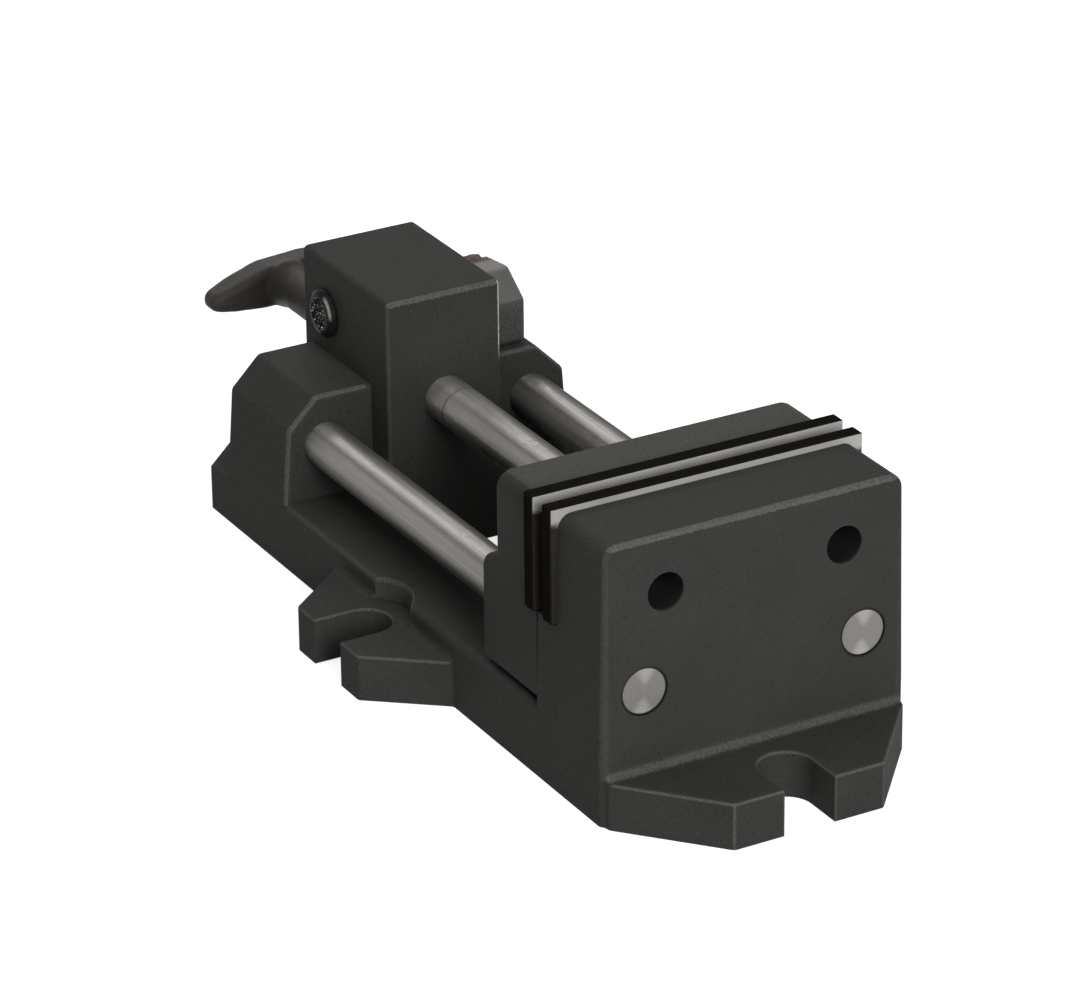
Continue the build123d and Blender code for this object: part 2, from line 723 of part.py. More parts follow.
# Locking dog: a hub on the cross shaft and a nose that presses on the spindle
with BuildPart() as locking_dog:
    with BuildSketch(along_y(dog_width / 2)):
        with Locations((shaft_x, shaft_height)):
            Circle(dog_hub_radius)
        with BuildLine():
            Polyline(
                (shaft_x, shaft_height + dog_hub_radius),
                (dog_nose_x - dog_nose_slope_run, dog_bottom + dog_nose_thickness),
                (dog_nose_x, dog_bottom + dog_nose_thickness - dog_nose_slope_drop),
                (dog_nose_x, dog_bottom + dog_heel_chamfer),
                (dog_nose_x - dog_heel_chamfer, dog_bottom),
                (shaft_x + dog_hub_radius / 2, dog_bottom),
                (shaft_x, shaft_height - dog_hub_radius),
                close=True,
            )
        make_face()
        with Locations((shaft_x, shaft_height)):
            Circle(shaft_diameter / 2 + press_clearance, mode=Mode.SUBTRACT)
    extrude(amount=dog_width)
    with BuildSketch(Plane.XY.offset(shaft_height - dog_hub_radius - cut_margin)):
        with Locations((shaft_x, 0)):
            Circle(dog_pin_diameter / 2 + press_clearance)
    extrude(amount=2 * (dog_hub_radius + cut_margin), mode=Mode.SUBTRACT)
finish(locking_dog.part, "locking_dog")

with BuildPart() as dog_pin:
    with BuildSketch(Plane.XY.offset(shaft_height - dog_hub_radius + plate_edge_chamfer)):
        with Locations((shaft_x, 0)):
            Circle(dog_pin_diameter / 2)
    extrude(amount=2 * (dog_hub_radius - plate_edge_chamfer))
    chamfer(edges().filter_by(GeomType.CIRCLE), plate_edge_chamfer)
finish(dog_pin.part, "dog_pin")

# Release lever: rough hub and smooth thumb block
with BuildPart() as release_lever:
    with BuildSketch(along_y(lever_inner_y + lever_block_width)):
        with BuildLine():
            Polyline(
                (shaft_x, shaft_height + lever_hub_radius - lever_hub_inset),
                (lever_block_back_x, lever_block_top),
                (lever_block_front_x - lever_slope_run, lever_block_top),
                (lever_block_front_x, lever_block_top - lever_slope_drop),
                (lever_block_front_x, lever_block_bottom),
                (lever_block_back_x, lever_block_bottom),
                (shaft_x, shaft_height - lever_hub_radius + lever_hub_inset),
                close=True,
            )
        make_face()
    extrude(amount=lever_block_width)
    block_outline = edges().filter_by(Axis.Y).filter_by(lambda edge: edge.center().X > shaft_x + rim_margin)
    fillet(block_outline.filter_by(lambda edge: edge.center().Z > shaft_height), foot_fillet)
    outer_rim = edges().group_by(Axis.Y)[-1]
    fillet(outer_rim.filter_by(lambda edge: edge.center().X > shaft_x + rim_margin), casting_fillet)
    with BuildSketch(along_y(lever_inner_y + lever_hub_length)):
        with Locations((shaft_x, shaft_height)):
            Circle(lever_hub_radius)
    extrude(amount=lever_hub_length)
    with BuildSketch(along_y(shaft_right_y + end_gap)):
        with Locations((shaft_x, shaft_height)):
            Circle(shaft_diameter / 2 + press_clearance)
    extrude(amount=lever_hub_length, mode=Mode.SUBTRACT)
    with BuildSketch(along_x(shaft_x - lever_hub_radius - cut_margin)):
        with Locations((lever_pin_y, shaft_height)):
            Circle(lever_pin_diameter / 2 + press_clearance)
    extrude(amount=lever_pin_length + cut_margin + end_gap, mode=Mode.SUBTRACT)
finish(release_lever.part, "release_lever")

with BuildPart() as lever_pin:
    with BuildSketch(along_x(shaft_x - lever_hub_radius + plate_edge_chamfer)):
        with Locations((lever_pin_y, shaft_height)):
            Circle(lever_pin_diameter / 2)
    extrude(amount=lever_pin_length - plate_edge_chamfer)
    chamfer(edges().filter_by(GeomType.CIRCLE), plate_edge_chamfer)
finish(lever_pin.part, "lever_pin")

print("travel", round(travel, 2))
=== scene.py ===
"""Drill press vise: its finishes, its hand-shaped handle, lever and screw, and the studio.

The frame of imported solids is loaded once. Places come from its nodes, in metres. The sizes and colours that a
user would change stand in the property groups, in millimetres where their names end in _mm.
"""
import math

import bmesh
import bpy
from bpy.props import FloatProperty, FloatVectorProperty, IntProperty, PointerProperty
from bpy.types import Operator, Panel, PropertyGroup
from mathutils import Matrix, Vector


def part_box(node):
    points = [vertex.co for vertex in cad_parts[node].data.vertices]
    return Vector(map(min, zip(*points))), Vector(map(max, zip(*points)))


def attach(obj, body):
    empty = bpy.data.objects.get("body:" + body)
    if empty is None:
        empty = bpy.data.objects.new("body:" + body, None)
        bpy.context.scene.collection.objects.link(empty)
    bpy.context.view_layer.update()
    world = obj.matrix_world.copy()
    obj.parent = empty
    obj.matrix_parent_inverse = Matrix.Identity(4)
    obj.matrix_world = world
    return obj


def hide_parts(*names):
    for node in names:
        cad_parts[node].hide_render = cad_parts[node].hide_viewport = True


bl_info = {
    "name": "Drill Press Vise Dressing",
    "version": (1, 0, 0),
    "blender": (4, 5, 0),
    "location": "3D View > Sidebar > Vise",
    "description": "Finishes, hand-shaped pieces and studio for a drill press vise",
    "category": "Object",
}

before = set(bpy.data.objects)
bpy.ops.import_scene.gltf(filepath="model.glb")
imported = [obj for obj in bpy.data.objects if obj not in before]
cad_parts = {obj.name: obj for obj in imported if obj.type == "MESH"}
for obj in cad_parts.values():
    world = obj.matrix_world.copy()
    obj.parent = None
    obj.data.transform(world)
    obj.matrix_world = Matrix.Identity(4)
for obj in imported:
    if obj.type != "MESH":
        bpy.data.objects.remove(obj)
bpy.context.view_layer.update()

MM = 0.001
FIXED_PLATE_LOW, FIXED_PLATE_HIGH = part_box("fixed_jaw_plate")
MOVING_PLATE_LOW, MOVING_PLATE_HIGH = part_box("moving_jaw_plate")
PLATE_SCREW_LOW, PLATE_SCREW_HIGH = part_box("fixed_plate_screws")
ROD_LOW, ROD_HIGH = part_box("guide_rod_right")
SPINDLE_LOW, SPINDLE_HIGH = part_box("spindle")
HANDLE_LOW, HANDLE_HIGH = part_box("handle")
LEVER_LOW, LEVER_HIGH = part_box("release_lever")
SCREW_LOW, SCREW_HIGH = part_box("shaft_screw")

# Axes of the round pieces
SPINDLE_Z = (SPINDLE_LOW.z + SPINDLE_HIGH.z) / 2
ROD_RADIUS = (ROD_HIGH.z - ROD_LOW.z) / 2
ROD_Y = (ROD_LOW.y + ROD_HIGH.y) / 2
ROD_Z = (ROD_LOW.z + ROD_HIGH.z) / 2
SCREW_X = (SCREW_LOW.x + SCREW_HIGH.x) / 2
SCREW_Z = (SCREW_LOW.z + SCREW_HIGH.z) / 2
PLATE_SCREW_HEAD_RADIUS = 5.0 * MM
PLATE_SCREW_Y = PLATE_SCREW_HIGH.y - PLATE_SCREW_HEAD_RADIUS
PLATE_SCREW_Z = (PLATE_SCREW_LOW.z + PLATE_SCREW_HIGH.z) / 2

# Faces and edges of the castings, where their paint changes
JAW_TOP_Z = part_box("moving_jaw")[1].z
BODY_TOP_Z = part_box("body_casting")[1].z
ROD_END_RECESS = 0.3 * MM
FRONT_FACE_X = ROD_HIGH.x + ROD_END_RECESS
TOWER_FRONT_X = -57.3 * MM
TOWER_HALF = 19.5 * MM
SHOULDER_FRONT_X = -68.7 * MM
RAIL_TOP_Z = 22.0 * MM
RAIL_OUTER_Y = 49.6 * MM
JAW_SIDE_Y = 48.9 * MM
EAR_TOP_Z = 14.5 * MM
EAR_REACH = 29.4 * MM
EAR_TIP_HALF = 24.3 * MM
SLOT_HALF = 8.25 * MM
SLOT_CENTRE_Y = 59.2 * MM
SPOTFACE_RADIUS = 14.5 * MM
PLATE_SCREW_BORE_RADIUS = 6.0 * MM
CASTING_FILLET = 1.8 * MM

# The tower's front corners are painted lighter from the first height up, as rubbed paint and painted highlight.
# The right one of them carries a bright painted highlight line from the second height up, fully from the third.
TOWER_RIM_LOW_Z = 26.0 * MM
CORNER_HIGHLIGHT_LOW_Z = 58.0 * MM
CORNER_HIGHLIGHT_FULL_Z = 66.0 * MM
CORNER_HIGHLIGHT_TONE = (0.75, 0.74, 0.72, 1.0)

# Bare steel: the spindle's mark ring and end painted lighter, the plates' bright tops, relief of the grinding
SPINDLE_MARK_X = -46.5 * MM
SPINDLE_LIT_RUN = 30.0 * MM
PLATE_BRIGHT_FULL = 3.5 * MM
PLATE_BRIGHT_END = 6.0 * MM
GRINDING_DEPTH_MM = 0.16
RING_PITCH = 0.16 * MM
DULL_TINT = (0.25, 0.25, 0.25, 1.0)

# Place across a bar and the painted light and shade of the steel there. The places run from 0 to 1 along the
# direction below, a side and a rise.
SHADES_SIDE, SHADES_RISE = 0.69, 0.72
BAR_PAINTED_SHADING = (
    (0.06, 0.38),
    (0.16, 0.55),
    (0.27, 0.88),
    (0.48, 0.88),
    (0.57, 0.52),
    (0.65, 0.78),
    (0.73, 1.0),
    (0.86, 1.0),
    (0.95, 0.55),
)

# Handle: reach, half height and share of the thickness at each section of a wing, millimetres
WING_SECTIONS = ((10.5, 6.3, 1.0), (15.0, 5.4, 0.97), (19.0, 4.5, 0.93), (23.0, 3.5, 0.86), (27.0, 2.4, 0.7))
# How far the wings' middle line stands above the spindle's axis
WING_LIFT = 0.5 * MM
WING_ROUNDING = 2.3 * MM
HUB_HALF_WIDTH = 7.0 * MM
HUB_HALF_HEIGHT = 6.9 * MM
HANDLE_REAR_INSET = 0.25 * MM
# Distance past the wings' front, millimetres, and share of the flare where the boss widens into the wings
BOSS_FLARE_PROFILE = ((-0.6, 1.0), (0.8, 0.75), (2.6, 0.35), (6.0, 0.0))
BOSS_FLARE = 1.5 * MM
BOSS_END_CHAMFER = 0.9 * MM
HANDLE_VOXEL = 0.55 * MM
HANDLE_LUMP_WIDTH_MM = 6.0
HANDLE_LUMP_HEIGHT = 0.35 * MM

# Release lever: a hub and a thumb block whose upper front corner slopes
LEVER_BLOCK_X = LEVER_LOW.x + 12.8 * MM
LEVER_SLOPE_RUN = 10.0 * MM
LEVER_SLOPE_DROP = 7.2 * MM
LEVER_SLOPE_Z = LEVER_HIGH.z - LEVER_SLOPE_DROP
LEVER_ROUNDING = 1.9 * MM
LEVER_WAIST_INSET = 1.0 * MM
LEVER_HUB_LENGTH = 15.0 * MM
LEVER_HUB_INSET = 0.15 * MM
LEVER_VOXEL = 0.4 * MM
CRUST_WIDTH_MM = 1.6
CRUST_HEIGHT = 0.55 * MM

# Screw on the tower's side: share of the head's height and of its radius along the dome
SCREW_DOME = ((0.0, 0.96), (0.25, 1.0), (0.45, 0.985), (0.65, 0.94), (0.82, 0.87), (0.94, 0.79), (1.0, 0.72))
SCREW_HEAD_HEIGHT = 2.6 * MM
SCREW_SHANK_RADIUS = 3.0 * MM
SCREW_RIM_WIDTH = 0.22 * MM
# Painted highlight arc on the screw head's edge: its radius and tone
HIGHLIGHT_ARC_RADIUS = 6.7 * MM
HIGHLIGHT_ARC_TONE = (0.36, 0.35, 0.34, 1.0)
RECESS_DIRT = (0.022, 0.014, 0.013, 1.0)
RECESS_GLINT = (0.50, 0.47, 0.46, 1.0)
RECESS_SIDES = 6
RECESS_RADIUS = 5.6 * MM
RECESS_MOUTH_RADIUS = 5.3 * MM
RECESS_FLOOR_RADIUS = 4.9 * MM
RECESS_LEAD = 1.0 * MM
RECESS_DEPTH = 1.3 * MM

# Studio
FLOOR_SIZE = 8.0
FLOOR_DROP = 0.2 * MM
FLOOR_GREY = (0.6, 0.6, 0.6, 1.0)
WHITE = (1.0, 1.0, 1.0, 1.0)
LIGHT_TARGET = (0.0, 0.0, 0.05)
CAMERA_TARGET = Vector((-0.0022, 0.0, 0.0379))
SENSOR_WIDTH_MM = 36.0
CAMERA_CLIP = (0.05, 30.0)
# Name, place and size of each light, and the setting that holds its power
LIGHTS = (
    ("overhead_softbox", (0.1, -0.35, 1.3), (1.0, 1.0), "key_power"),
    ("front_light", (1.7, -0.25, 0.7), (0.8, 0.8), "front_power"),
    ("rear_strip", (-1.2, 0.25, 0.85), (1.0, 0.4), "rear_power"),
)


class FinishSettings(PropertyGroup):
    """Colours of the vise's finishes."""

    casting_color: FloatVectorProperty(
        name="Casting paint",
        description="Black paint of the base casting",
        subtype="COLOR",
        default=(0.035, 0.035, 0.0328),
        min=0.0,
        max=1.0,
    )
    jaw_color: FloatVectorProperty(
        name="Jaw paint",
        description="Smoother paint of the moving jaw",
        subtype="COLOR",
        default=(0.031, 0.0315, 0.028),
        min=0.0,
        max=1.0,
    )
    handle_color: FloatVectorProperty(
        name="Handle paint",
        description="Worn dark paint of the handle",
        subtype="COLOR",
        default=(0.034, 0.031, 0.027),
        min=0.0,
        max=1.0,
    )
    steel_color: FloatVectorProperty(
        name="Ground steel",
        description="Bare ground steel of the rods and the spindle",
        subtype="COLOR",
        default=(0.315, 0.303, 0.285),
        min=0.0,
        max=1.0,
    )
    plate_color: FloatVectorProperty(
        name="Plate faces",
        description="Bare ground faces of the jaw plates",
        subtype="COLOR",
        default=(0.38, 0.37, 0.355),
        min=0.0,
        max=1.0,
    )
    black_oxide_color: FloatVectorProperty(
        name="Blackened steel",
        description="Blackened edges of the jaw plates and screws",
        subtype="COLOR",
        default=(0.008, 0.0072, 0.0062),
        min=0.0,
        max=1.0,
    )
    lever_color: FloatVectorProperty(
        name="Thumb block",
        description="Dark paint of the release lever's thumb block",
        subtype="COLOR",
        default=(0.027, 0.0262, 0.0242),
        min=0.0,
        max=1.0,
    )
    rust_color: FloatVectorProperty(
        name="Rough hub",
        description="Brownish tint of the release lever's rough hub",
        subtype="COLOR",
        default=(0.042, 0.028, 0.023),
        min=0.0,
        max=1.0,
    )
    grain_mm: FloatProperty(
        name="Casting grain",
        description="Width of the casting's sand grain, in millimetres",
        default=0.7,
        min=0.2,
        max=3.0,
    )


class HandleSettings(PropertyGroup):
    """Sizes of the handle's wings and boss."""

    wing_tilt: FloatProperty(
        name="Wing tilt",
        description="How far the wings are turned from level",
        subtype="ANGLE",
        default=math.radians(7.0),
    )
    wing_thickness_mm: FloatProperty(
        name="Wing thickness",
        description="Thickness of the wings along the spindle, in millimetres",
        default=11.0,
        min=4.0,
        max=20.0,
    )
    boss_diameter_mm: FloatProperty(
        name="Boss diameter",
        description="Diameter of the long boss on the spindle, in millimetres",
        default=13.2,
        min=11.0,
        max=15.0,
    )


class StageSettings(PropertyGroup):
    """Camera and lights."""

    azimuth: FloatProperty(
        name="Azimuth",
        description="Camera's direction round the vise",
        subtype="ANGLE",
        default=math.radians(60.80),
    )
    elevation: FloatProperty(
        name="Elevation",
        description="Camera's height above the horizon",
        subtype="ANGLE",
        default=math.radians(25.20),
    )
    roll: FloatProperty(
        name="Roll",
        description="Camera's turn about its own axis",
        subtype="ANGLE",
        default=-0.011,
    )
    distance: FloatProperty(
        name="Distance",
        description="From the camera to the point that it looks at",
        default=1.58719,
        unit="LENGTH",
    )
    lens: FloatProperty(
        name="Lens",
        description="Focal length on a sensor 36 mm wide",
        default=179.87,
        unit="CAMERA",
    )
    sky: FloatProperty(
        name="Surroundings",
        description="Strength of the white surroundings as a light",
        default=0.17,
        min=0.0,
        max=1.0,
    )
    floor_glow: FloatProperty(
        name="Floor glow",
        description="Glow that brings the floor up to white where it is seen",
        default=0.70,
        min=0.0,
        max=1.0,
    )
    key_power: FloatProperty(
        name="Overhead softbox",
        description="Power of the large light above the vise",
        default=6.8,
        unit="POWER",
    )
    front_power: FloatProperty(
        name="Front light",
        description="Power of the light before the fixed jaw",
        default=30.0,
        unit="POWER",
    )
    rear_power: FloatProperty(
        name="Rear strip",
        description="Power of the strip light behind the handle",
        default=6.0,
        unit="POWER",
    )
    round_segments: IntProperty(
        name="Round segments",
        description="Sides of the round pieces that are modelled here",
        default=64,
        min=16,
        max=256,
    )


class Value:
    """A socket of a shader that takes part in Python expressions."""

    def __init__(self, shader, socket):
        self.shader = shader
        self.socket = socket

    def __add__(self, other):
        return self.shader.math("ADD", self, other)

    def __sub__(self, other):
        return self.shader.math("SUBTRACT", self, other)

    def __rsub__(self, other):
        return self.shader.math("SUBTRACT", other, self)

    def __mul__(self, other):
        return self.shader.math("MULTIPLY", self, other)

    def __truediv__(self, other):
        return self.shader.math("DIVIDE", self, other)

    def __pow__(self, other):
        return self.shader.math("POWER", self, other)

    def __abs__(self):
        return self.shader.math("ABSOLUTE", self)

    __radd__ = __add__
    __rmul__ = __mul__


class Shader:
    """A material whose nodes are written as expressions."""

    def __init__(self, name):
        self.material = bpy.data.materials.new(name)
        self.material.use_nodes = True
        self.tree = self.material.node_tree
        self.tree.nodes.clear()
        self.place = self.node("ShaderNodeTexCoord", {}, {}, "Object")
        parts = self.node("ShaderNodeSeparateXYZ", {}, {0: self.place}, None)
        self.x, self.y, self.z = (Value(self, parts.outputs[axis]) for axis in "XYZ")

    def node(self, kind, settings, values, output=0):
        """Adds a node: its settings first, then its sockets' values or links. Gives one of its outputs."""
        made = self.tree.nodes.new(kind)
        for key, setting in settings.items():
            if key == "stops":
                ramp = made.color_ramp
                while len(ramp.elements) < len(setting):
                    ramp.elements.new(1.0)
                for element, (position, color) in zip(ramp.elements, setting):
                    element.position = position
                    element.color = color
            else:
                setattr(made, key, setting)
        for key, value in values.items():
            if isinstance(value, Value):
                self.tree.links.new(value.socket, made.inputs[key])
            else:
                made.inputs[key].default_value = value
        return made if output is None else Value(self, made.outputs[output])

    def math(self, operation, *values):
        """A Math node."""
        return self.node("ShaderNodeMath", {"operation": operation}, dict(enumerate(values)))

    def smaller(self, a, b):
        """The smaller of two values."""
        return self.math("MINIMUM", a, b)

    def larger(self, a, b):
        """The larger of two values."""
        return self.math("MAXIMUM", a, b)

    def step(self, value, low, high):
        """0 below low, 1 above high, smooth between; low may be the larger."""
        settings = {"interpolation_type": "SMOOTHSTEP"}
        if low < high:
            return self.node("ShaderNodeMapRange", settings, {0: value, 1: low, 2: high})
        return self.node("ShaderNodeMapRange", settings, {0: value, 1: high, 2: low, 3: 1.0, 4: 0.0})

    def noise(self, width_mm, detail=2.0, roughness=0.5, stretch=(1.0, 1.0, 1.0), shift=0.0):
        """Noise whose spots are about width_mm wide, longer along an axis by its stretch."""
        scale = [1.0 / (width_mm * MM * factor) for factor in stretch]
        offset = (shift, shift * 0.7, shift * 1.3)
        mapping = {"Vector": self.place, "Location": offset, "Scale": scale}
        placed = self.node("ShaderNodeMapping", {}, mapping)
        values = {"Vector": placed, "Scale": 1.0, "Detail": detail, "Roughness": roughness}
        return self.node("ShaderNodeTexNoise", {}, values)

    def mix(self, factor, a, b):
        """Colour between a and b."""
        return self.node("ShaderNodeMix", {"data_type": "RGBA"}, {0: factor, 6: a, 7: b}, 2)

    def near(self, value, target, reach_mm):
        """1 where value is at target, 0 from reach_mm away."""
        return self.step(abs(value - target), reach_mm * MM, 0.0)

    def inside(self, value, limit):
        """1 where value is above limit, with an edge a third of a millimetre wide."""
        return self.step(value, limit - 0.15 * MM, limit + 0.15 * MM)

    def between(self, value, low, high):
        """1 where value is between low and high."""
        return self.inside(value, low) * (1.0 - self.inside(value, high))

    def bump(self, height, depth_mm):
        """Normal of a relief whose height of 1 is depth_mm."""
        values = {"Height": height, "Distance": depth_mm * MM, "Strength": 1.0}
        return self.node("ShaderNodeBump", {}, values)

    def surface(self, **values):
        """Ends the material in a Principled shader. Names are its sockets', with _ for a space."""
        named = {key.replace("_", " "): value for key, value in values.items()}
        made = self.node("ShaderNodeBsdfPrincipled", {}, named)
        self.node("ShaderNodeOutputMaterial", {}, {"Surface": made}, None)
        return self.material


def rgba(color, gain=1.0):
    """A colour property as four numbers, made lighter or darker by gain."""
    return tuple(min(1.0, part * gain) for part in color[:3]) + (1.0,)


def casting_finish(name, color, grain_mm, roughness, gloss, edges):
    """Painted sand casting: grain, pits, swells, rims rubbed and painted with highlight, a painted highlight
    line and painted shade.
    """
    paint = Shader(name)
    grain = paint.noise(grain_mm, 3.0, 0.6)
    fine = paint.noise(grain_mm * 0.4, 2.0, 0.6, shift=3.0)
    pits = paint.step(paint.noise(grain_mm * 2.3, 2.0, 0.5, shift=7.0), 0.66, 0.78)
    swell = paint.noise(14.0, 2.0, 0.5, shift=11.0)
    blotch = paint.noise(22.0, 3.0, 0.6, shift=17.0)
    speck = paint.step(paint.noise(grain_mm * 0.55, 1.0, 0.5, shift=23.0), 0.60, 0.72)
    rubbed_and_highlit, painted_corner_highlight, painted_shade = edges(paint)
    crumbs = paint.step(grain * 0.5 + fine * 0.5, 0.42, 0.60)
    tone = paint.mix(paint.step(blotch, 0.35, 0.7), rgba(color, 0.95), rgba(color, 1.06))
    tone = paint.mix(speck * 0.4, tone, rgba(color, 2.6))
    # Rims rubbed and painted with highlight, painted shade in holes and gaps, a painted highlight line on a
    # corner
    tone = paint.mix(rubbed_and_highlit * (crumbs * 0.6 + 0.4), tone, rgba(color, 2.9))
    tone = paint.mix(painted_shade, tone, rgba(color, 0.25))
    tone = paint.mix(painted_corner_highlight * paint.step(grain, 0.30, 0.48), tone, CORNER_HIGHLIGHT_TONE)
    tone = paint.mix(pits * 0.5, tone, rgba(color, 0.5))
    relief = grain * 0.5 + fine * (rubbed_and_highlit * 0.5 + 0.28) + swell * 0.5 - pits * 0.5
    rough = roughness + (blotch - 0.5) * 0.16 + pits * 0.1 - speck * 0.06
    values = {"Base_Color": tone, "Roughness": rough, "Normal": paint.bump(relief, 0.16)}
    return paint.surface(IOR=1.5, Specular_IOR_Level=gloss, **values)


def upper_rims(paint, x, side, z):
    """Rubbed and painted-highlight rims of the fixed jaw, the tower and the shoulders."""
    top = paint.inside(z, BODY_TOP_Z - 1.5 * MM)
    jaw_front = paint.inside(x, FRONT_FACE_X - 1.5 * MM)
    jaw_upright = jaw_front * paint.inside(side, JAW_SIDE_Y - CASTING_FILLET) * paint.inside(z, EAR_TOP_Z)
    in_tower = paint.inside(TOWER_FRONT_X + CASTING_FILLET - x, 0.0)
    tower_front = paint.inside(x, TOWER_FRONT_X - 1.3 * MM) * in_tower
    tower_upright = tower_front * paint.inside(side, TOWER_HALF - 0.8 * MM)
    tower_upright = tower_upright * paint.inside(z, TOWER_RIM_LOW_Z)
    shoulder = paint.inside(x, SHOULDER_FRONT_X - CASTING_FILLET)
    shoulder = shoulder * paint.inside(SHOULDER_FRONT_X - 0.3 * MM - paint.x, 0.0)
    shoulder = shoulder * paint.inside(side, TOWER_HALF + 1.5 * MM) * paint.inside(z, RAIL_TOP_Z - 1.0 * MM)
    return (jaw_front + tower_front) * top + jaw_upright * 0.18 + tower_upright * 0.4 + shoulder * 0.9


def lower_rims(paint, x, side, z):
    """Rubbed and painted-highlight rims of the rails, the ears with their slots and roots, and the spot faces.
    """
    rail = paint.between(z, RAIL_TOP_Z - CASTING_FILLET, RAIL_TOP_Z + 0.1 * MM)
    rail = rail * paint.inside(side, RAIL_OUTER_Y - 1.0 * MM) * paint.between(x, SHOULDER_FRONT_X, 0.0)
    ear = paint.between(paint.z, EAR_TOP_Z - 0.9 * MM, EAR_TOP_Z - 0.2 * MM)
    beside = paint.inside(side, RAIL_OUTER_Y + 0.7 * MM)
    before = paint.inside(abs(paint.x), FRONT_FACE_X + 2.5 * MM)
    ear = ear * paint.larger(beside, before)
    from_slot = abs(paint.y) - SLOT_CENTRE_Y
    pad = paint.near((paint.x * paint.x + from_slot * from_slot) ** 0.5, SPOTFACE_RADIUS, 0.8)
    pad = pad * paint.between(z, EAR_TOP_Z + 0.4 * MM, RAIL_TOP_Z + 0.3 * MM)
    pad = pad * (paint.inside(z, RAIL_TOP_Z - 1.5 * MM) * 0.65 + 0.35)
    root = paint.between(x, FRONT_FACE_X + 0.2 * MM, FRONT_FACE_X + 3.0 * MM)
    root = root * paint.inside(z, EAR_TOP_Z + 0.2 * MM)
    root = root * paint.step(z, EAR_TOP_Z + 3.4 * MM, EAR_TOP_Z + 0.8 * MM)
    tip = paint.inside(x, FRONT_FACE_X + EAR_REACH - 0.5 * MM)
    tip = tip * (paint.near(abs(paint.y), EAR_TIP_HALF, 0.8) + paint.near(abs(paint.y), SLOT_HALF, 0.8))
    return rail * 0.4 + ear * 0.8 + root * 0.7 + tip * 0.7 + pad


def painted_shade_places(paint):
    """Painted shade on the walls of the deep screw holes and in the gap round each rod's end."""
    across = abs(paint.y) - PLATE_SCREW_Y
    rise = paint.z - PLATE_SCREW_Z
    edge, wall = PLATE_SCREW_BORE_RADIUS, PLATE_SCREW_BORE_RADIUS - 0.4 * MM
    bore = paint.step(across * across + rise * rise, edge**2, wall**2)
    bore = bore * paint.step(paint.x, FRONT_FACE_X - 0.1 * MM, FRONT_FACE_X - 1.2 * MM)
    across = abs(paint.y) - ROD_Y
    rise = paint.z - ROD_Z
    ring = paint.near((across * across + rise * rise) ** 0.5, ROD_RADIUS, 0.7)
    ring = ring * paint.inside(paint.x, FRONT_FACE_X - 1.0 * MM) * 0.8
    return paint.larger(bore, ring)


def body_edges(paint):
    """Rims of the base casting rubbed and painted with highlight, a painted highlight line on a corner, and
    painted shade.
    """
    ragged = (paint.noise(0.9, 2.0, 0.6, shift=31.0) - 0.5) * (0.9 * MM)
    place = (paint.x + ragged, abs(paint.y) + ragged, paint.z + ragged)
    rubbed_and_highlit = upper_rims(paint, *place) + lower_rims(paint, *place)
    # Painted highlight: a bright line high on the tower's right front corner
    painted_corner_highlight = paint.near(paint.x, TOWER_FRONT_X - 0.5 * MM, 0.8)
    painted_corner_highlight = painted_corner_highlight * paint.near(paint.y, TOWER_HALF - 0.5 * MM, 0.8)
    painted_corner_highlight = painted_corner_highlight * paint.step(paint.z, CORNER_HIGHLIGHT_LOW_Z, CORNER_HIGHLIGHT_FULL_Z)
    return paint.smaller(rubbed_and_highlit, 1.0), painted_corner_highlight, painted_shade_places(paint)


def jaw_top_sheen(paint):
    """Top of the moving jaw, painted lighter as a sheen."""
    return paint.inside(paint.z, JAW_TOP_Z - 0.5 * MM) * 0.55, 0.0, 0.0


def no_edges(paint):
    """A finish with no rubbed edges."""
    return 0.0, 0.0, 0.0


def ground(steel, color, side, rise):
    """Painted light and shade, colour, roughness and relief of a bar along X, ground round; side and rise from
    its axis.
    """
    streak = steel.noise(0.5, 3.0, 0.6, (120.0, 1.0, 1.0))
    broad = steel.noise(3.0, 2.0, 0.5, (60.0, 1.0, 1.0), 5.0)
    smudge = steel.noise(9.0, 3.0, 0.6, (2.5, 1.0, 1.0), 9.0)
    grooves = steel.noise(0.22, 2.0, 0.6, (1.0, 90.0, 90.0), 13.0)
    across = (rise * SHADES_RISE + side * SHADES_SIDE) / (ROD_RADIUS * 2.0) + 0.5
    stops = [(place, (shade, shade, shade, 1.0)) for place, shade in BAR_PAINTED_SHADING]
    shade = steel.node("ShaderNodeValToRGB", {"stops": stops}, {0: across + (broad - 0.5) * 0.08})
    tone = steel.mix(steel.step(streak, 0.3, 0.7), rgba(color, 0.90), rgba(color, 1.10))
    tone = steel.mix(steel.step(broad, 0.45, 0.75) * 0.3, tone, rgba(color, 0.6))
    # Painted light and shade across the bar
    tone = steel.mix(shade, rgba(color, 0.0), tone)
    rough = streak * 0.08 + steel.step(smudge, 0.5, 0.75) * 0.08 + 0.26
    return tone, rough, grooves


def bare_bar(steel, tone, rough, relief):
    """Ends the material of a ground bar."""
    values = {"Base_Color": tone, "Roughness": rough, "Normal": steel.bump(relief, GRINDING_DEPTH_MM)}
    return steel.surface(Metallic=0.7, Specular_IOR_Level=0.0, Specular_Tint=DULL_TINT, **values)


def spindle_steel(name, color):
    """Bare ground steel of the spindle, with its dark mark ring and a stretch towards the tower painted
    lighter.
    """
    steel = Shader(name)
    tone, rough, relief = ground(steel, color, steel.y, steel.z - SPINDLE_Z)
    # Painted light: lighter over a stretch towards the tower
    painted_lift = steel.step(steel.x, SPINDLE_MARK_X + SPINDLE_LIT_RUN, SPINDLE_MARK_X - 4 * MM)
    tone = steel.mix(painted_lift * 0.3, tone, rgba(color, 1.9))
    tone = steel.mix(steel.near(steel.x, SPINDLE_MARK_X, 0.6), tone, rgba(color, 0.1))
    return bare_bar(steel, tone, rough, relief)


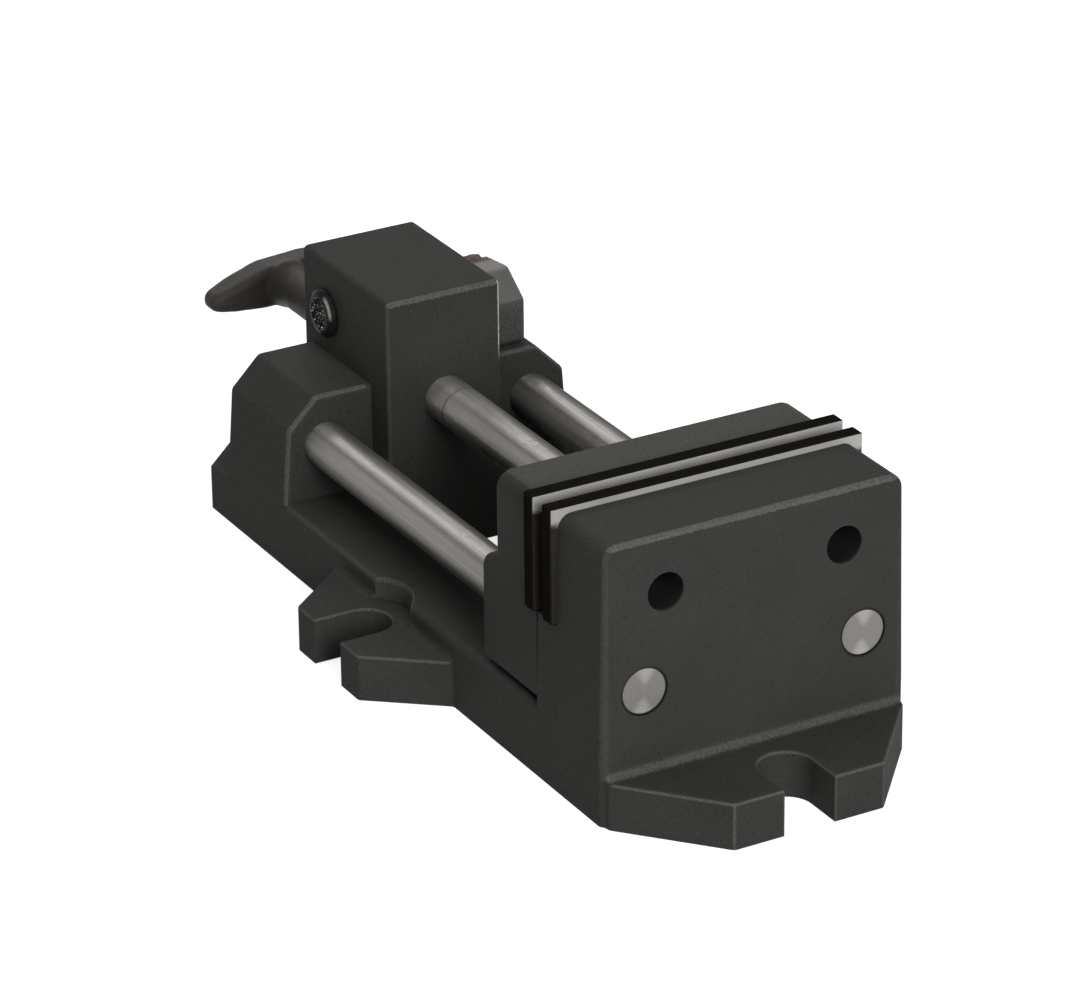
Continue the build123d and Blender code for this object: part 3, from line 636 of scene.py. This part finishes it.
def rod_steel(name, color):
    """Bare ground steel of the guide rods, with fine rings, a painted fan highlight and a painted shaded rim on
    their front ends.
    """
    steel = Shader(name)
    side = steel.y - steel.math("SIGN", steel.y) * ROD_Y
    rise = steel.z - ROD_Z
    tone, rough, relief = ground(steel, color, side, rise)
    radius = (side * side + rise * rise) ** 0.5
    rings = steel.math("SINE", radius / RING_PITCH)
    ring_values = {"W": radius / (0.5 * MM), "Scale": 1.0}
    ring_tone = steel.node("ShaderNodeTexNoise", {"noise_dimensions": "1D"}, ring_values)
    # Painted highlight: a turned face shines along one diameter, less at its middle
    along = abs(side * 0.1 + rise * 0.99)
    fan_highlight = steel.step(along / (radius + 0.4 * MM), 0.75, 0.98)
    # Painted shade: a dark rim at the edge of each rod's end
    rim = steel.step(radius, ROD_RADIUS - 0.5 * MM, ROD_RADIUS - 0.2 * MM)
    end = steel.near(steel.x, ROD_HIGH.x, 0.25)
    end_tone = steel.mix(ring_tone * 0.35 + fan_highlight * 0.65, rgba(color, 0.5), rgba(color, 1.2))
    end_tone = steel.mix(rim, end_tone, rgba(color, 0.1))
    tone = steel.mix(end, tone, end_tone)
    rough = rough * (1.0 - end) + end * (0.40 + ring_tone * 0.08)
    relief = relief * (1.0 - end) + end * (0.5 + rings * 0.06)
    return bare_bar(steel, tone, rough, relief)


def plate_steel(name, face_xs, plate_top, dark, bright):
    """Jaw plate: blackened all round, with its two broad faces ground, lighter along their tops and darker
    below.
    """
    steel = Shader(name)
    faces = steel.near(steel.x, face_xs[0], 0.15)
    faces = steel.larger(faces, steel.near(steel.x, face_xs[1], 0.15))
    streak = steel.noise(0.3, 3.0, 0.6, (1.0, 70.0, 1.0))
    cross = steel.noise(0.5, 2.0, 0.5, (1.0, 1.0, 30.0), 4.0)
    mottle = steel.noise(3.0, 3.0, 0.6, shift=8.0)
    cloud = steel.noise(16.0, 2.0, 0.5, shift=12.0)
    face_tone = steel.mix(streak * 0.7 + cross * 0.3, rgba(bright, 0.85), rgba(bright, 1.15))
    face_tone = steel.mix(steel.step(cloud, 0.45, 0.7) * 0.3, face_tone, rgba(bright, 0.6))
    # Darker below a lighter band along the top of each ground face
    uneven_z = steel.z + (mottle - 0.5) * (2.0 * MM)
    bright_band = steel.step(uneven_z, plate_top - PLATE_BRIGHT_END, plate_top - PLATE_BRIGHT_FULL)
    lower_face_tone = steel.mix(streak, rgba(dark, 2.0), rgba(dark, 5.0))
    face_tone = steel.mix(bright_band, lower_face_tone, face_tone)
    black = steel.mix(mottle, rgba(dark, 0.8), rgba(dark, 1.5))
    rough = faces * (streak * 0.12 + 0.44) + (1.0 - faces) * (mottle * 0.12 + 0.5)
    relief = faces * streak + (1.0 - faces) * steel.noise(0.6, 2.0, shift=2.0)
    tone = steel.mix(faces, black, face_tone)
    values = {"Base_Color": tone, "Roughness": rough, "Normal": steel.bump(relief, 0.015)}
    return steel.surface(Metallic=faces * 0.35, Specular_IOR_Level=0.0, **values)


def machined_steel(name, color):
    """Plain machined steel of the inner pieces and screws, a little oily."""
    steel = Shader(name)
    swirl = steel.noise(0.5, 3.0, 0.6)
    stain = steel.noise(4.0, 3.0, 0.6, shift=6.0)
    tone = steel.mix(swirl, rgba(color, 0.75), rgba(color, 1.2))
    tone = steel.mix(steel.step(stain, 0.5, 0.75) * 0.5, tone, rgba(color, 0.5))
    rough = swirl * 0.12 + stain * 0.08 + 0.32
    return steel.surface(Base_Color=tone, Metallic=1.0, Roughness=rough, Normal=steel.bump(swirl, 0.02))


def screw_finish(name, color):
    """Blackened screw with a rough, dirty recess that glints, and a painted highlight arc on its head's edge.
    """
    steel = Shader(name)
    grit = steel.noise(0.75, 3.0, 0.7)
    clump = steel.noise(1.6, 2.0, 0.5, shift=4.0)
    side = steel.x - SCREW_X
    rise = steel.z - SCREW_Z
    radius = (side * side + rise * rise) ** 0.5
    inside = steel.step(radius, RECESS_RADIUS, RECESS_RADIUS - 0.6 * MM)
    glint = steel.step(grit, 0.575, 0.65) * inside
    tone = steel.mix(clump, rgba(color, 0.8), rgba(color, 1.6))
    tone = steel.mix(steel.step(clump, 0.5, 0.65) * inside * 0.6, tone, RECESS_DIRT)
    tone = steel.mix(glint, tone, RECESS_GLINT)
    # Painted highlight: a bright arc on the head's edge at its upper front
    highlight_arc = steel.step((side * 0.82 + rise * 0.57) / radius, 0.78, 0.96)
    highlight_arc = steel.near(radius, HIGHLIGHT_ARC_RADIUS, 0.8) * highlight_arc
    tone = steel.mix(highlight_arc * (grit * 0.6 + 0.4), tone, HIGHLIGHT_ARC_TONE)
    rough = inside * 0.1 + clump * 0.1 + 0.28
    relief = grit * (inside * 0.85 + 0.1)
    values = {"Base_Color": tone, "Roughness": rough, "Normal": steel.bump(relief, 0.25)}
    return steel.surface(Metallic=glint * 0.8, Specular_IOR_Level=0.03, **values)


def lever_finish(name, hub_color, block_color):
    """Release lever: rough brown hub, smooth slope on the thumb block and coarser paint below it."""
    paint = Shader(name)
    grain = paint.noise(0.9, 4.0, 0.65)
    crumbs = paint.noise(2.2, 3.0, 0.6, shift=5.0)
    fine = paint.noise(0.5, 2.0, 0.5, shift=8.0)
    blotch = paint.noise(7.0, 3.0, 0.5, shift=13.0)
    hub = paint.step(paint.x, LEVER_BLOCK_X + 0.5 * MM, LEVER_BLOCK_X - 1.5 * MM)
    low = paint.step(paint.z, LEVER_SLOPE_Z + 0.3 * MM, LEVER_SLOPE_Z - 0.3 * MM)
    rust = paint.mix(paint.step(crumbs, 0.4, 0.65), rgba(hub_color, 0.7), rgba(hub_color, 1.9))
    smooth = paint.mix(blotch, rgba(block_color, 2.6), rgba(block_color, 3.6))
    coarse = paint.mix(paint.step(fine, 0.4, 0.65), rgba(block_color, 1.0), rgba(block_color, 1.9))
    tone = paint.mix(hub, paint.mix(low, smooth, coarse), rust)
    rough = hub * 0.2 + low * 0.08 + (grain - 0.5) * 0.15 + 0.46
    relief = hub * (grain * 0.6 + crumbs * 0.8) + (1.0 - hub) * (fine * (low * 0.5 + 0.1) + blotch * 0.3)
    values = {"Base_Color": tone, "Roughness": rough, "Normal": paint.bump(relief, 0.2)}
    return paint.surface(IOR=1.5, Specular_IOR_Level=0.2, **values)


def finish_nodes(names, material):
    """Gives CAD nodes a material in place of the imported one."""
    for name in names:
        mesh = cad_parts[name].data
        mesh.materials.clear()
        mesh.materials.append(material)


def nothing_selected():
    """Leaves edit mode and deselects everything."""
    if bpy.context.object and bpy.context.object.mode != "OBJECT":
        bpy.ops.object.mode_set(mode="OBJECT")
    bpy.ops.object.select_all(action="DESELECT")


def select_faces(obj, wanted):
    """Selects, in edit mode, the faces for which wanted(centre, normal) holds, and only those."""
    bpy.ops.mesh.select_mode(type="FACE")
    shape = bmesh.from_edit_mesh(obj.data)
    for face in shape.faces:
        face.select_set(bool(wanted(face.calc_center_median(), face.normal)))
    shape.select_flush_mode()
    bmesh.update_edit_mesh(obj.data)


def select_edges(obj, wanted):
    """Selects, in edit mode, the edges for which wanted(first end, second end) holds, and only those."""
    bpy.ops.mesh.select_mode(type="EDGE")
    shape = bmesh.from_edit_mesh(obj.data)
    for edge in shape.edges:
        edge.select_set(bool(wanted(edge.verts[0].co, edge.verts[1].co)))
    bmesh.update_edit_mesh(obj.data)


def turned(name, start, along, stations, segments):
    """Round piece along a line from start: a disc extruded and resized through (distance, radius) pairs."""
    nothing_selected()
    direction = Vector(along).normalized()
    first, radius = stations[0]
    bpy.ops.mesh.primitive_circle_add(
        vertices=segments,
        radius=radius,
        fill_type="NGON",
        location=Vector(start) + direction * first,
        rotation=direction.to_track_quat("Z", "Y").to_euler(),
    )
    obj = bpy.context.object
    obj.name = name
    bpy.ops.object.transform_apply(location=True, rotation=True, scale=True)
    bpy.ops.object.mode_set(mode="EDIT")
    bpy.ops.mesh.select_all(action="SELECT")
    for place, next_radius in stations[1:]:
        move = direction * (place - first)
        bpy.ops.mesh.extrude_region_move(TRANSFORM_OT_translate={"value": move})
        ratio = next_radius / radius
        centre = Vector(start) + direction * place
        bpy.ops.transform.resize(value=(ratio, ratio, ratio), center_override=centre)
        first, radius = place, next_radius
    bpy.ops.mesh.select_all(action="SELECT")
    bpy.ops.mesh.normals_make_consistent(inside=False)
    bpy.ops.object.mode_set(mode="OBJECT")
    return obj


def box_piece(name, low, high):
    """A box between two corners, its place in its mesh, to be shaped further."""
    nothing_selected()
    low, high = Vector(low), Vector(high)
    bpy.ops.mesh.primitive_cube_add(size=1.0, location=(low + high) / 2, scale=high - low)
    obj = bpy.context.object
    obj.name = name
    bpy.ops.object.transform_apply(location=True, rotation=True, scale=True)
    return obj


def apply_modifier(obj, kind, **settings):
    """Adds a modifier, sets it and applies it."""
    nothing_selected()
    bpy.context.view_layer.objects.active = obj
    obj.select_set(True)
    added = obj.modifiers.new(kind.title(), kind)
    for key, value in settings.items():
        setattr(added, key, value)
    bpy.ops.object.modifier_apply(modifier=added.name)


def joined(main, *others):
    """Joins the other pieces into the main one."""
    nothing_selected()
    for obj in (main, *others):
        obj.select_set(True)
    bpy.context.view_layer.objects.active = main
    bpy.ops.object.join()
    return main


def smooth_shaded(obj, angle=None):
    """Shades a piece smooth, with sharp edges past the angle where one is given."""
    nothing_selected()
    obj.select_set(True)
    bpy.context.view_layer.objects.active = obj
    if angle is None:
        bpy.ops.object.shade_smooth()
    else:
        bpy.ops.object.shade_smooth_by_angle(angle=angle)


def cast_noise(name, width_mm):
    """Texture of the casting's unevenness, for a Displace modifier."""
    clouds = bpy.data.textures.new(name, "CLOUDS")
    clouds.noise_scale = width_mm * MM
    clouds.noise_depth = 2
    return clouds


class VISE_OT_castings(Operator):
    """Paint the base casting and the moving jaw"""

    bl_idname = "vise.castings"
    bl_label = "Paint Castings"

    def execute(self, context):
        finish = context.scene.vise_finish
        looks = {"roughness": 0.62, "gloss": 0.02, "edges": body_edges}
        body = casting_finish("casting_paint", finish.casting_color, finish.grain_mm, **looks)
        looks = {"roughness": 0.5, "gloss": 0.02, "edges": jaw_top_sheen}
        jaw = casting_finish("jaw_paint", finish.jaw_color, finish.grain_mm * 0.8, **looks)
        finish_nodes(["body_casting"], body)
        finish_nodes(["moving_jaw"], jaw)
        return {"FINISHED"}


class VISE_OT_steel(Operator):
    """Finish the rods, spindle, plates, pins and screws"""

    bl_idname = "vise.steel"
    bl_label = "Finish Steel"

    def execute(self, context):
        finish = context.scene.vise_finish
        steel = finish.steel_color
        finish_nodes(["guide_rod_left", "guide_rod_right"], rod_steel("rod_steel", steel))
        finish_nodes(["spindle"], spindle_steel("spindle_steel", steel))
        plates = {
            "fixed_jaw_plate": (FIXED_PLATE_LOW, FIXED_PLATE_HIGH),
            "moving_jaw_plate": (MOVING_PLATE_LOW, MOVING_PLATE_HIGH),
        }
        black, bright = finish.black_oxide_color, finish.plate_color
        for node, (low, high) in plates.items():
            finish_nodes([node], plate_steel(node + "_steel", (low.x, high.x), high.z, black, bright))
        inner = machined_steel("inner_steel", steel)
        finish_nodes(["spindle_keeper_pins", "thrust_disc", "handle_pin", "cross_shaft"], inner)
        finish_nodes(["locking_dog", "dog_pin", "lever_pin"], inner)
        dark = machined_steel("screw_steel", rgba(steel, 0.15))
        finish_nodes(["rod_set_screws", "fixed_plate_screws", "moving_plate_screws"], dark)
        return {"FINISHED"}


def handle_wings(rear, front, tilt):
    """The handle's hub and its two tapered wings, as one box drawn out to both sides."""
    half_width, half_height = HUB_HALF_WIDTH, HUB_HALF_HEIGHT
    middle_x, middle_z = (rear + front) / 2, SPINDLE_Z + WING_LIFT
    low = (rear, -half_width, middle_z - half_height)
    wings = box_piece("handle_wings", low, (front, half_width, middle_z + half_height))
    bpy.ops.object.mode_set(mode="EDIT")
    slope = math.tan(tilt)
    # The left wing leans from the hub's middle, the right one from the hub's end
    for side, lean_from in ((-1, 0.0), (1, half_width)):
        select_faces(wings, lambda centre, normal: normal.y * side > 0.9)
        bpy.ops.transform.translate(value=(0.0, 0.0, slope * side * (half_width - lean_from)))
        reach, half, share = half_width, half_height, 1.0
        for next_mm, half_mm, next_share in WING_SECTIONS:
            place = next_mm * MM
            move = (0.0, side * (place - reach), slope * side * (place - reach))
            bpy.ops.mesh.extrude_region_move(TRANSFORM_OT_translate={"value": move})
            centre = (middle_x, side * place, middle_z + slope * side * (place - lean_from))
            ratio = (next_share / share, 1.0, half_mm * MM / half)
            bpy.ops.transform.resize(value=ratio, center_override=centre)
            reach, half, share = place, half_mm * MM, next_share
    tip = WING_SECTIONS[-1][0] * MM - 0.5 * MM
    select_edges(wings, lambda a, b: abs(a.y - b.y) > 1.0 * MM or abs(a.y) > tip)
    bpy.ops.mesh.bevel(offset=WING_ROUNDING, segments=5, affect="EDGES", clamp_overlap=True)
    bpy.ops.object.mode_set(mode="OBJECT")
    return wings


def handle_boss(rear, thickness, radius, segments):
    """The long round boss on the spindle, flared where the wings grow out of it."""
    length = HANDLE_HIGH.x - rear
    stations = [(0.5 * MM, radius * 0.8), (thickness * 0.5, radius)]
    for past_mm, share in BOSS_FLARE_PROFILE:
        stations.append((thickness + past_mm * MM, radius + BOSS_FLARE * share))
    stations += [(length - BOSS_END_CHAMFER, radius), (length, radius - BOSS_END_CHAMFER)]
    return turned("handle_boss", (rear, 0.0, SPINDLE_Z), (1, 0, 0), stations, segments)


class VISE_OT_handle(Operator):
    """Model the winged handle with its long boss"""

    bl_idname = "vise.handle"
    bl_label = "Model Handle"

    def execute(self, context):
        sizes = context.scene.vise_handle
        segments = context.scene.vise_stage.round_segments
        thickness = sizes.wing_thickness_mm * MM
        boss_radius = sizes.boss_diameter_mm * MM / 2
        rear = HANDLE_LOW.x + HANDLE_REAR_INSET
        wings = handle_wings(rear, rear + thickness, sizes.wing_tilt)
        handle = joined(wings, handle_boss(rear, thickness, boss_radius, segments))
        handle.name = "winged_handle"
        apply_modifier(handle, "REMESH", mode="VOXEL", voxel_size=HANDLE_VOXEL)
        apply_modifier(handle, "SMOOTH", factor=0.5, iterations=5)
        lumps = cast_noise("handle_unevenness", HANDLE_LUMP_WIDTH_MM)
        apply_modifier(handle, "DISPLACE", texture=lumps, strength=HANDLE_LUMP_HEIGHT, mid_level=0.55)
        smooth_shaded(handle)
        finish = context.scene.vise_finish
        looks = {"roughness": 0.5, "gloss": 0.08, "edges": no_edges}
        paint = casting_finish("handle_paint", finish.handle_color, finish.grain_mm * 0.7, **looks)
        handle.data.materials.append(paint)
        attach(handle, "spindle")
        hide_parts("handle")
        return {"FINISHED"}


def lever_block(hub_radius):
    """The lever's arm and thumb block: a sloped box whose arm narrows towards the hub."""
    margin = 0.1 * MM
    block = box_piece("lever_block", (SCREW_X, LEVER_LOW.y, LEVER_LOW.z), LEVER_HIGH)
    bpy.ops.object.mode_set(mode="EDIT")
    bpy.ops.mesh.select_all(action="SELECT")
    bpy.ops.mesh.bisect(
        plane_co=(LEVER_HIGH.x - LEVER_SLOPE_RUN, 0.0, LEVER_HIGH.z),
        plane_no=Vector((LEVER_SLOPE_DROP, 0.0, LEVER_SLOPE_RUN)).normalized(),
        use_fill=True,
        clear_outer=True,
        threshold=margin / 100,
    )
    waist = hub_radius - LEVER_WAIST_INSET
    at_hub = SCREW_X + margin
    select_edges(block, lambda a, b: max(a.x, b.x) < at_hub and min(a.z, b.z) > SCREW_Z)
    bpy.ops.transform.translate(value=(0.0, 0.0, SCREW_Z + waist - LEVER_HIGH.z))
    select_edges(block, lambda a, b: max(a.x, b.x) < at_hub and max(a.z, b.z) < SCREW_Z)
    bpy.ops.transform.translate(value=(0.0, 0.0, SCREW_Z - waist - LEVER_LOW.z))
    select_edges(block, lambda a, b: min(a.x, b.x) > at_hub)
    bpy.ops.mesh.bevel(offset=LEVER_ROUNDING, segments=4, affect="EDGES", clamp_overlap=True)
    bpy.ops.object.mode_set(mode="OBJECT")
    apply_modifier(block, "REMESH", mode="VOXEL", voxel_size=LEVER_VOXEL)
    apply_modifier(block, "SMOOTH", factor=0.5, iterations=4)
    return block


def lever_hub(hub_radius, segments):
    """The lever's round hub with its rough crust."""
    stations = (
        (0.0, hub_radius - 0.5 * MM),
        (0.5 * MM, hub_radius - LEVER_HUB_INSET),
        (LEVER_HUB_LENGTH - 0.9 * MM, hub_radius - LEVER_HUB_INSET),
        (LEVER_HUB_LENGTH - 0.2 * MM, hub_radius - 0.9 * MM),
    )
    hub = turned("lever_hub", (SCREW_X, LEVER_LOW.y, SCREW_Z), (0, 1, 0), stations, segments)
    apply_modifier(hub, "REMESH", mode="VOXEL", voxel_size=LEVER_VOXEL)
    crust = cast_noise("hub_crust", CRUST_WIDTH_MM)
    apply_modifier(hub, "DISPLACE", texture=crust, strength=CRUST_HEIGHT, mid_level=0.62)
    return hub


class VISE_OT_release_lever(Operator):
    """Model the release lever's rough hub and thumb block"""

    bl_idname = "vise.release_lever"
    bl_label = "Model Release Lever"

    def execute(self, context):
        hub_radius = SCREW_X - LEVER_LOW.x
        block = lever_block(hub_radius)
        lever = joined(block, lever_hub(hub_radius, context.scene.vise_stage.round_segments))
        lever.name = "thumb_lever"
        smooth_shaded(lever)
        finish = context.scene.vise_finish
        paint = lever_finish("lever_paint", finish.rust_color, finish.lever_color)
        lever.data.materials.append(paint)
        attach(lever, "release")
        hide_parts("release_lever")
        return {"FINISHED"}


class VISE_OT_shaft_screw(Operator):
    """Model the button head screw on the tower's side"""

    bl_idname = "vise.shaft_screw"
    bl_label = "Model Shaft Screw"

    def execute(self, context):
        segments = context.scene.vise_stage.round_segments
        head_radius = (SCREW_HIGH.x - SCREW_LOW.x) / 2
        seat = SCREW_HIGH.y - SCREW_LOW.y - SCREW_HEAD_HEIGHT
        stations = [(place, SCREW_SHANK_RADIUS) for place in (0.0, seat - 0.05 * MM, seat)]
        stations += [(seat + share * SCREW_HEAD_HEIGHT, head_radius * width) for share, width in SCREW_DOME]
        screw = turned("button_screw", (SCREW_X, SCREW_HIGH.y, SCREW_Z), (0, -1, 0), stations, segments)
        outside = (SCREW_X, SCREW_LOW.y - RECESS_LEAD, SCREW_Z)
        stations = (
            (0.0, RECESS_RADIUS),
            (RECESS_LEAD, RECESS_MOUTH_RADIUS),
            (RECESS_LEAD + RECESS_DEPTH, RECESS_FLOOR_RADIUS),
        )
        recess = turned("screw_recess", outside, (0, 1, 0), stations, RECESS_SIDES)
        apply_modifier(screw, "BOOLEAN", object=recess, operation="DIFFERENCE", solver="EXACT")
        bpy.data.objects.remove(recess)
        rim = {"width": SCREW_RIM_WIDTH, "segments": 2}
        apply_modifier(screw, "BEVEL", limit_method="ANGLE", angle_limit=math.radians(35), **rim)
        smooth_shaded(screw, math.radians(40))
        screw.data.materials.append(screw_finish("screw_black", context.scene.vise_finish.black_oxide_color))
        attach(screw, "release")
        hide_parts("shaft_screw")
        return {"FINISHED"}


def area_light(name, place, size, power):
    """A soft white rectangular light that faces the vise."""
    lamp = bpy.data.lights.new(name, "AREA")
    lamp.shape = "RECTANGLE"
    lamp.size, lamp.size_y = size
    lamp.energy = power
    holder = bpy.data.objects.new(name, lamp)
    holder.location = place
    holder.rotation_euler = (Vector(LIGHT_TARGET) - Vector(place)).to_track_quat("-Z", "Y").to_euler()
    bpy.context.scene.collection.objects.link(holder)


def white_surroundings(scene, sky):
    """A world that is white where it is seen or mirrored and lights the vise with the strength of sky."""
    world = bpy.data.worlds.new("studio")
    scene.world = world
    world.use_nodes = True
    nodes, links = world.node_tree.nodes, world.node_tree.links
    nodes.clear()
    path = nodes.new("ShaderNodeLightPath")
    seen = nodes.new("ShaderNodeMath")
    seen.operation = "MAXIMUM"
    links.new(path.outputs["Is Camera Ray"], seen.inputs[0])
    links.new(path.outputs["Is Glossy Ray"], seen.inputs[1])
    clear = nodes.new("ShaderNodeMath")
    clear.operation = "MAXIMUM"
    links.new(seen.outputs[0], clear.inputs[0])
    links.new(path.outputs["Is Transmission Ray"], clear.inputs[1])
    strength = nodes.new("ShaderNodeMapRange")
    strength.inputs["To Min"].default_value = sky
    strength.inputs["To Max"].default_value = 1.0
    links.new(clear.outputs[0], strength.inputs["Value"])
    background = nodes.new("ShaderNodeBackground")
    background.inputs["Color"].default_value = WHITE
    links.new(strength.outputs[0], background.inputs["Strength"])
    output = nodes.new("ShaderNodeOutputWorld")
    links.new(background.outputs[0], output.inputs["Surface"])


def studio_floor(glow_strength):
    """A pale floor that catches the shadow and glows up to white where it is seen or mirrored."""
    nothing_selected()
    bpy.ops.mesh.primitive_plane_add(size=FLOOR_SIZE, location=(0.0, 0.0, -FLOOR_DROP))
    floor = bpy.context.object
    floor.name = "studio_floor"
    bpy.ops.object.transform_apply(location=True, rotation=True, scale=True)
    pale = Shader("floor_white")
    light = pale.node("ShaderNodeLightPath", {}, {}, None)
    camera_ray = Value(pale, light.outputs["Is Camera Ray"])
    glossy_ray = Value(pale, light.outputs["Is Glossy Ray"])
    passed_ray = Value(pale, light.outputs["Is Transmission Ray"])
    shown = pale.larger(pale.larger(camera_ray, glossy_ray), passed_ray)
    base = pale.node("ShaderNodeBsdfDiffuse", {}, {"Color": FLOOR_GREY})
    glow_values = {"Color": WHITE, "Strength": shown * glow_strength}
    glow = pale.node("ShaderNodeEmission", {}, glow_values)
    both = pale.node("ShaderNodeAddShader", {}, {0: base, 1: glow})
    pale.node("ShaderNodeOutputMaterial", {}, {"Surface": both}, None)
    floor.data.materials.append(pale.material)


def photo_camera(scene, stage):
    """The camera from which the photo was taken."""
    level, rise = math.cos(stage.elevation), math.sin(stage.elevation)
    back = Vector((math.sin(stage.azimuth) * level, -math.cos(stage.azimuth) * level, rise))
    lens = bpy.data.cameras.new("photo_camera")
    lens.sensor_width = SENSOR_WIDTH_MM
    lens.lens = stage.lens
    lens.clip_start, lens.clip_end = CAMERA_CLIP
    camera = bpy.data.objects.new("photo_camera", lens)
    scene.collection.objects.link(camera)
    camera.location = CAMERA_TARGET + back * stage.distance
    camera.rotation_euler = (-back).to_track_quat("-Z", "Y").to_euler()
    camera.rotation_euler.rotate_axis("Z", stage.roll)
    scene.camera = camera


class VISE_OT_stage(Operator):
    """Set the floor, the white surroundings, the lights and the camera"""

    bl_idname = "vise.stage"
    bl_label = "Set Stage"

    def execute(self, context):
        scene = context.scene
        stage = scene.vise_stage
        scene.view_settings.view_transform = "Standard"
        white_surroundings(scene, stage.sky)
        studio_floor(stage.floor_glow)
        for name, place, size, power_setting in LIGHTS:
            area_light(name, place, size, getattr(stage, power_setting))
        photo_camera(scene, stage)
        return {"FINISHED"}


OPERATORS = (
    VISE_OT_castings,
    VISE_OT_steel,
    VISE_OT_handle,
    VISE_OT_release_lever,
    VISE_OT_shaft_screw,
    VISE_OT_stage,
)


class VISE_PT_sidebar(Panel):
    """The vise's settings and steps in the 3D view's sidebar"""

    bl_label = "Drill Press Vise"
    bl_idname = "VISE_PT_sidebar"
    bl_space_type = "VIEW_3D"
    bl_region_type = "UI"
    bl_category = "Vise"

    def draw(self, context):
        layout = self.layout
        for group in (context.scene.vise_finish, context.scene.vise_handle, context.scene.vise_stage):
            box = layout.box()
            for key in group.bl_rna.properties.keys():
                if key not in ("name", "rna_type"):
                    box.prop(group, key)
        for operator in OPERATORS:
            layout.operator(operator.bl_idname)


GROUPS = {"vise_finish": FinishSettings, "vise_handle": HandleSettings, "vise_stage": StageSettings}
CLASSES = (*GROUPS.values(), *OPERATORS, VISE_PT_sidebar)


def register():
    """Registers the classes and ties the settings to the scene."""
    for made in CLASSES:
        bpy.utils.register_class(made)
    for key, group in GROUPS.items():
        setattr(bpy.types.Scene, key, PointerProperty(type=group))


def unregister():
    """Undoes register."""
    for key in GROUPS:
        delattr(bpy.types.Scene, key)
    for made in reversed(CLASSES):
        bpy.utils.unregister_class(made)


def main():
    """Runs every step."""
    register()
    bpy.ops.vise.castings()
    bpy.ops.vise.steel()
    bpy.ops.vise.handle()
    bpy.ops.vise.release_lever()
    bpy.ops.vise.shaft_screw()
    bpy.ops.vise.stage()
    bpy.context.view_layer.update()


if __name__ == "__main__":
    main()
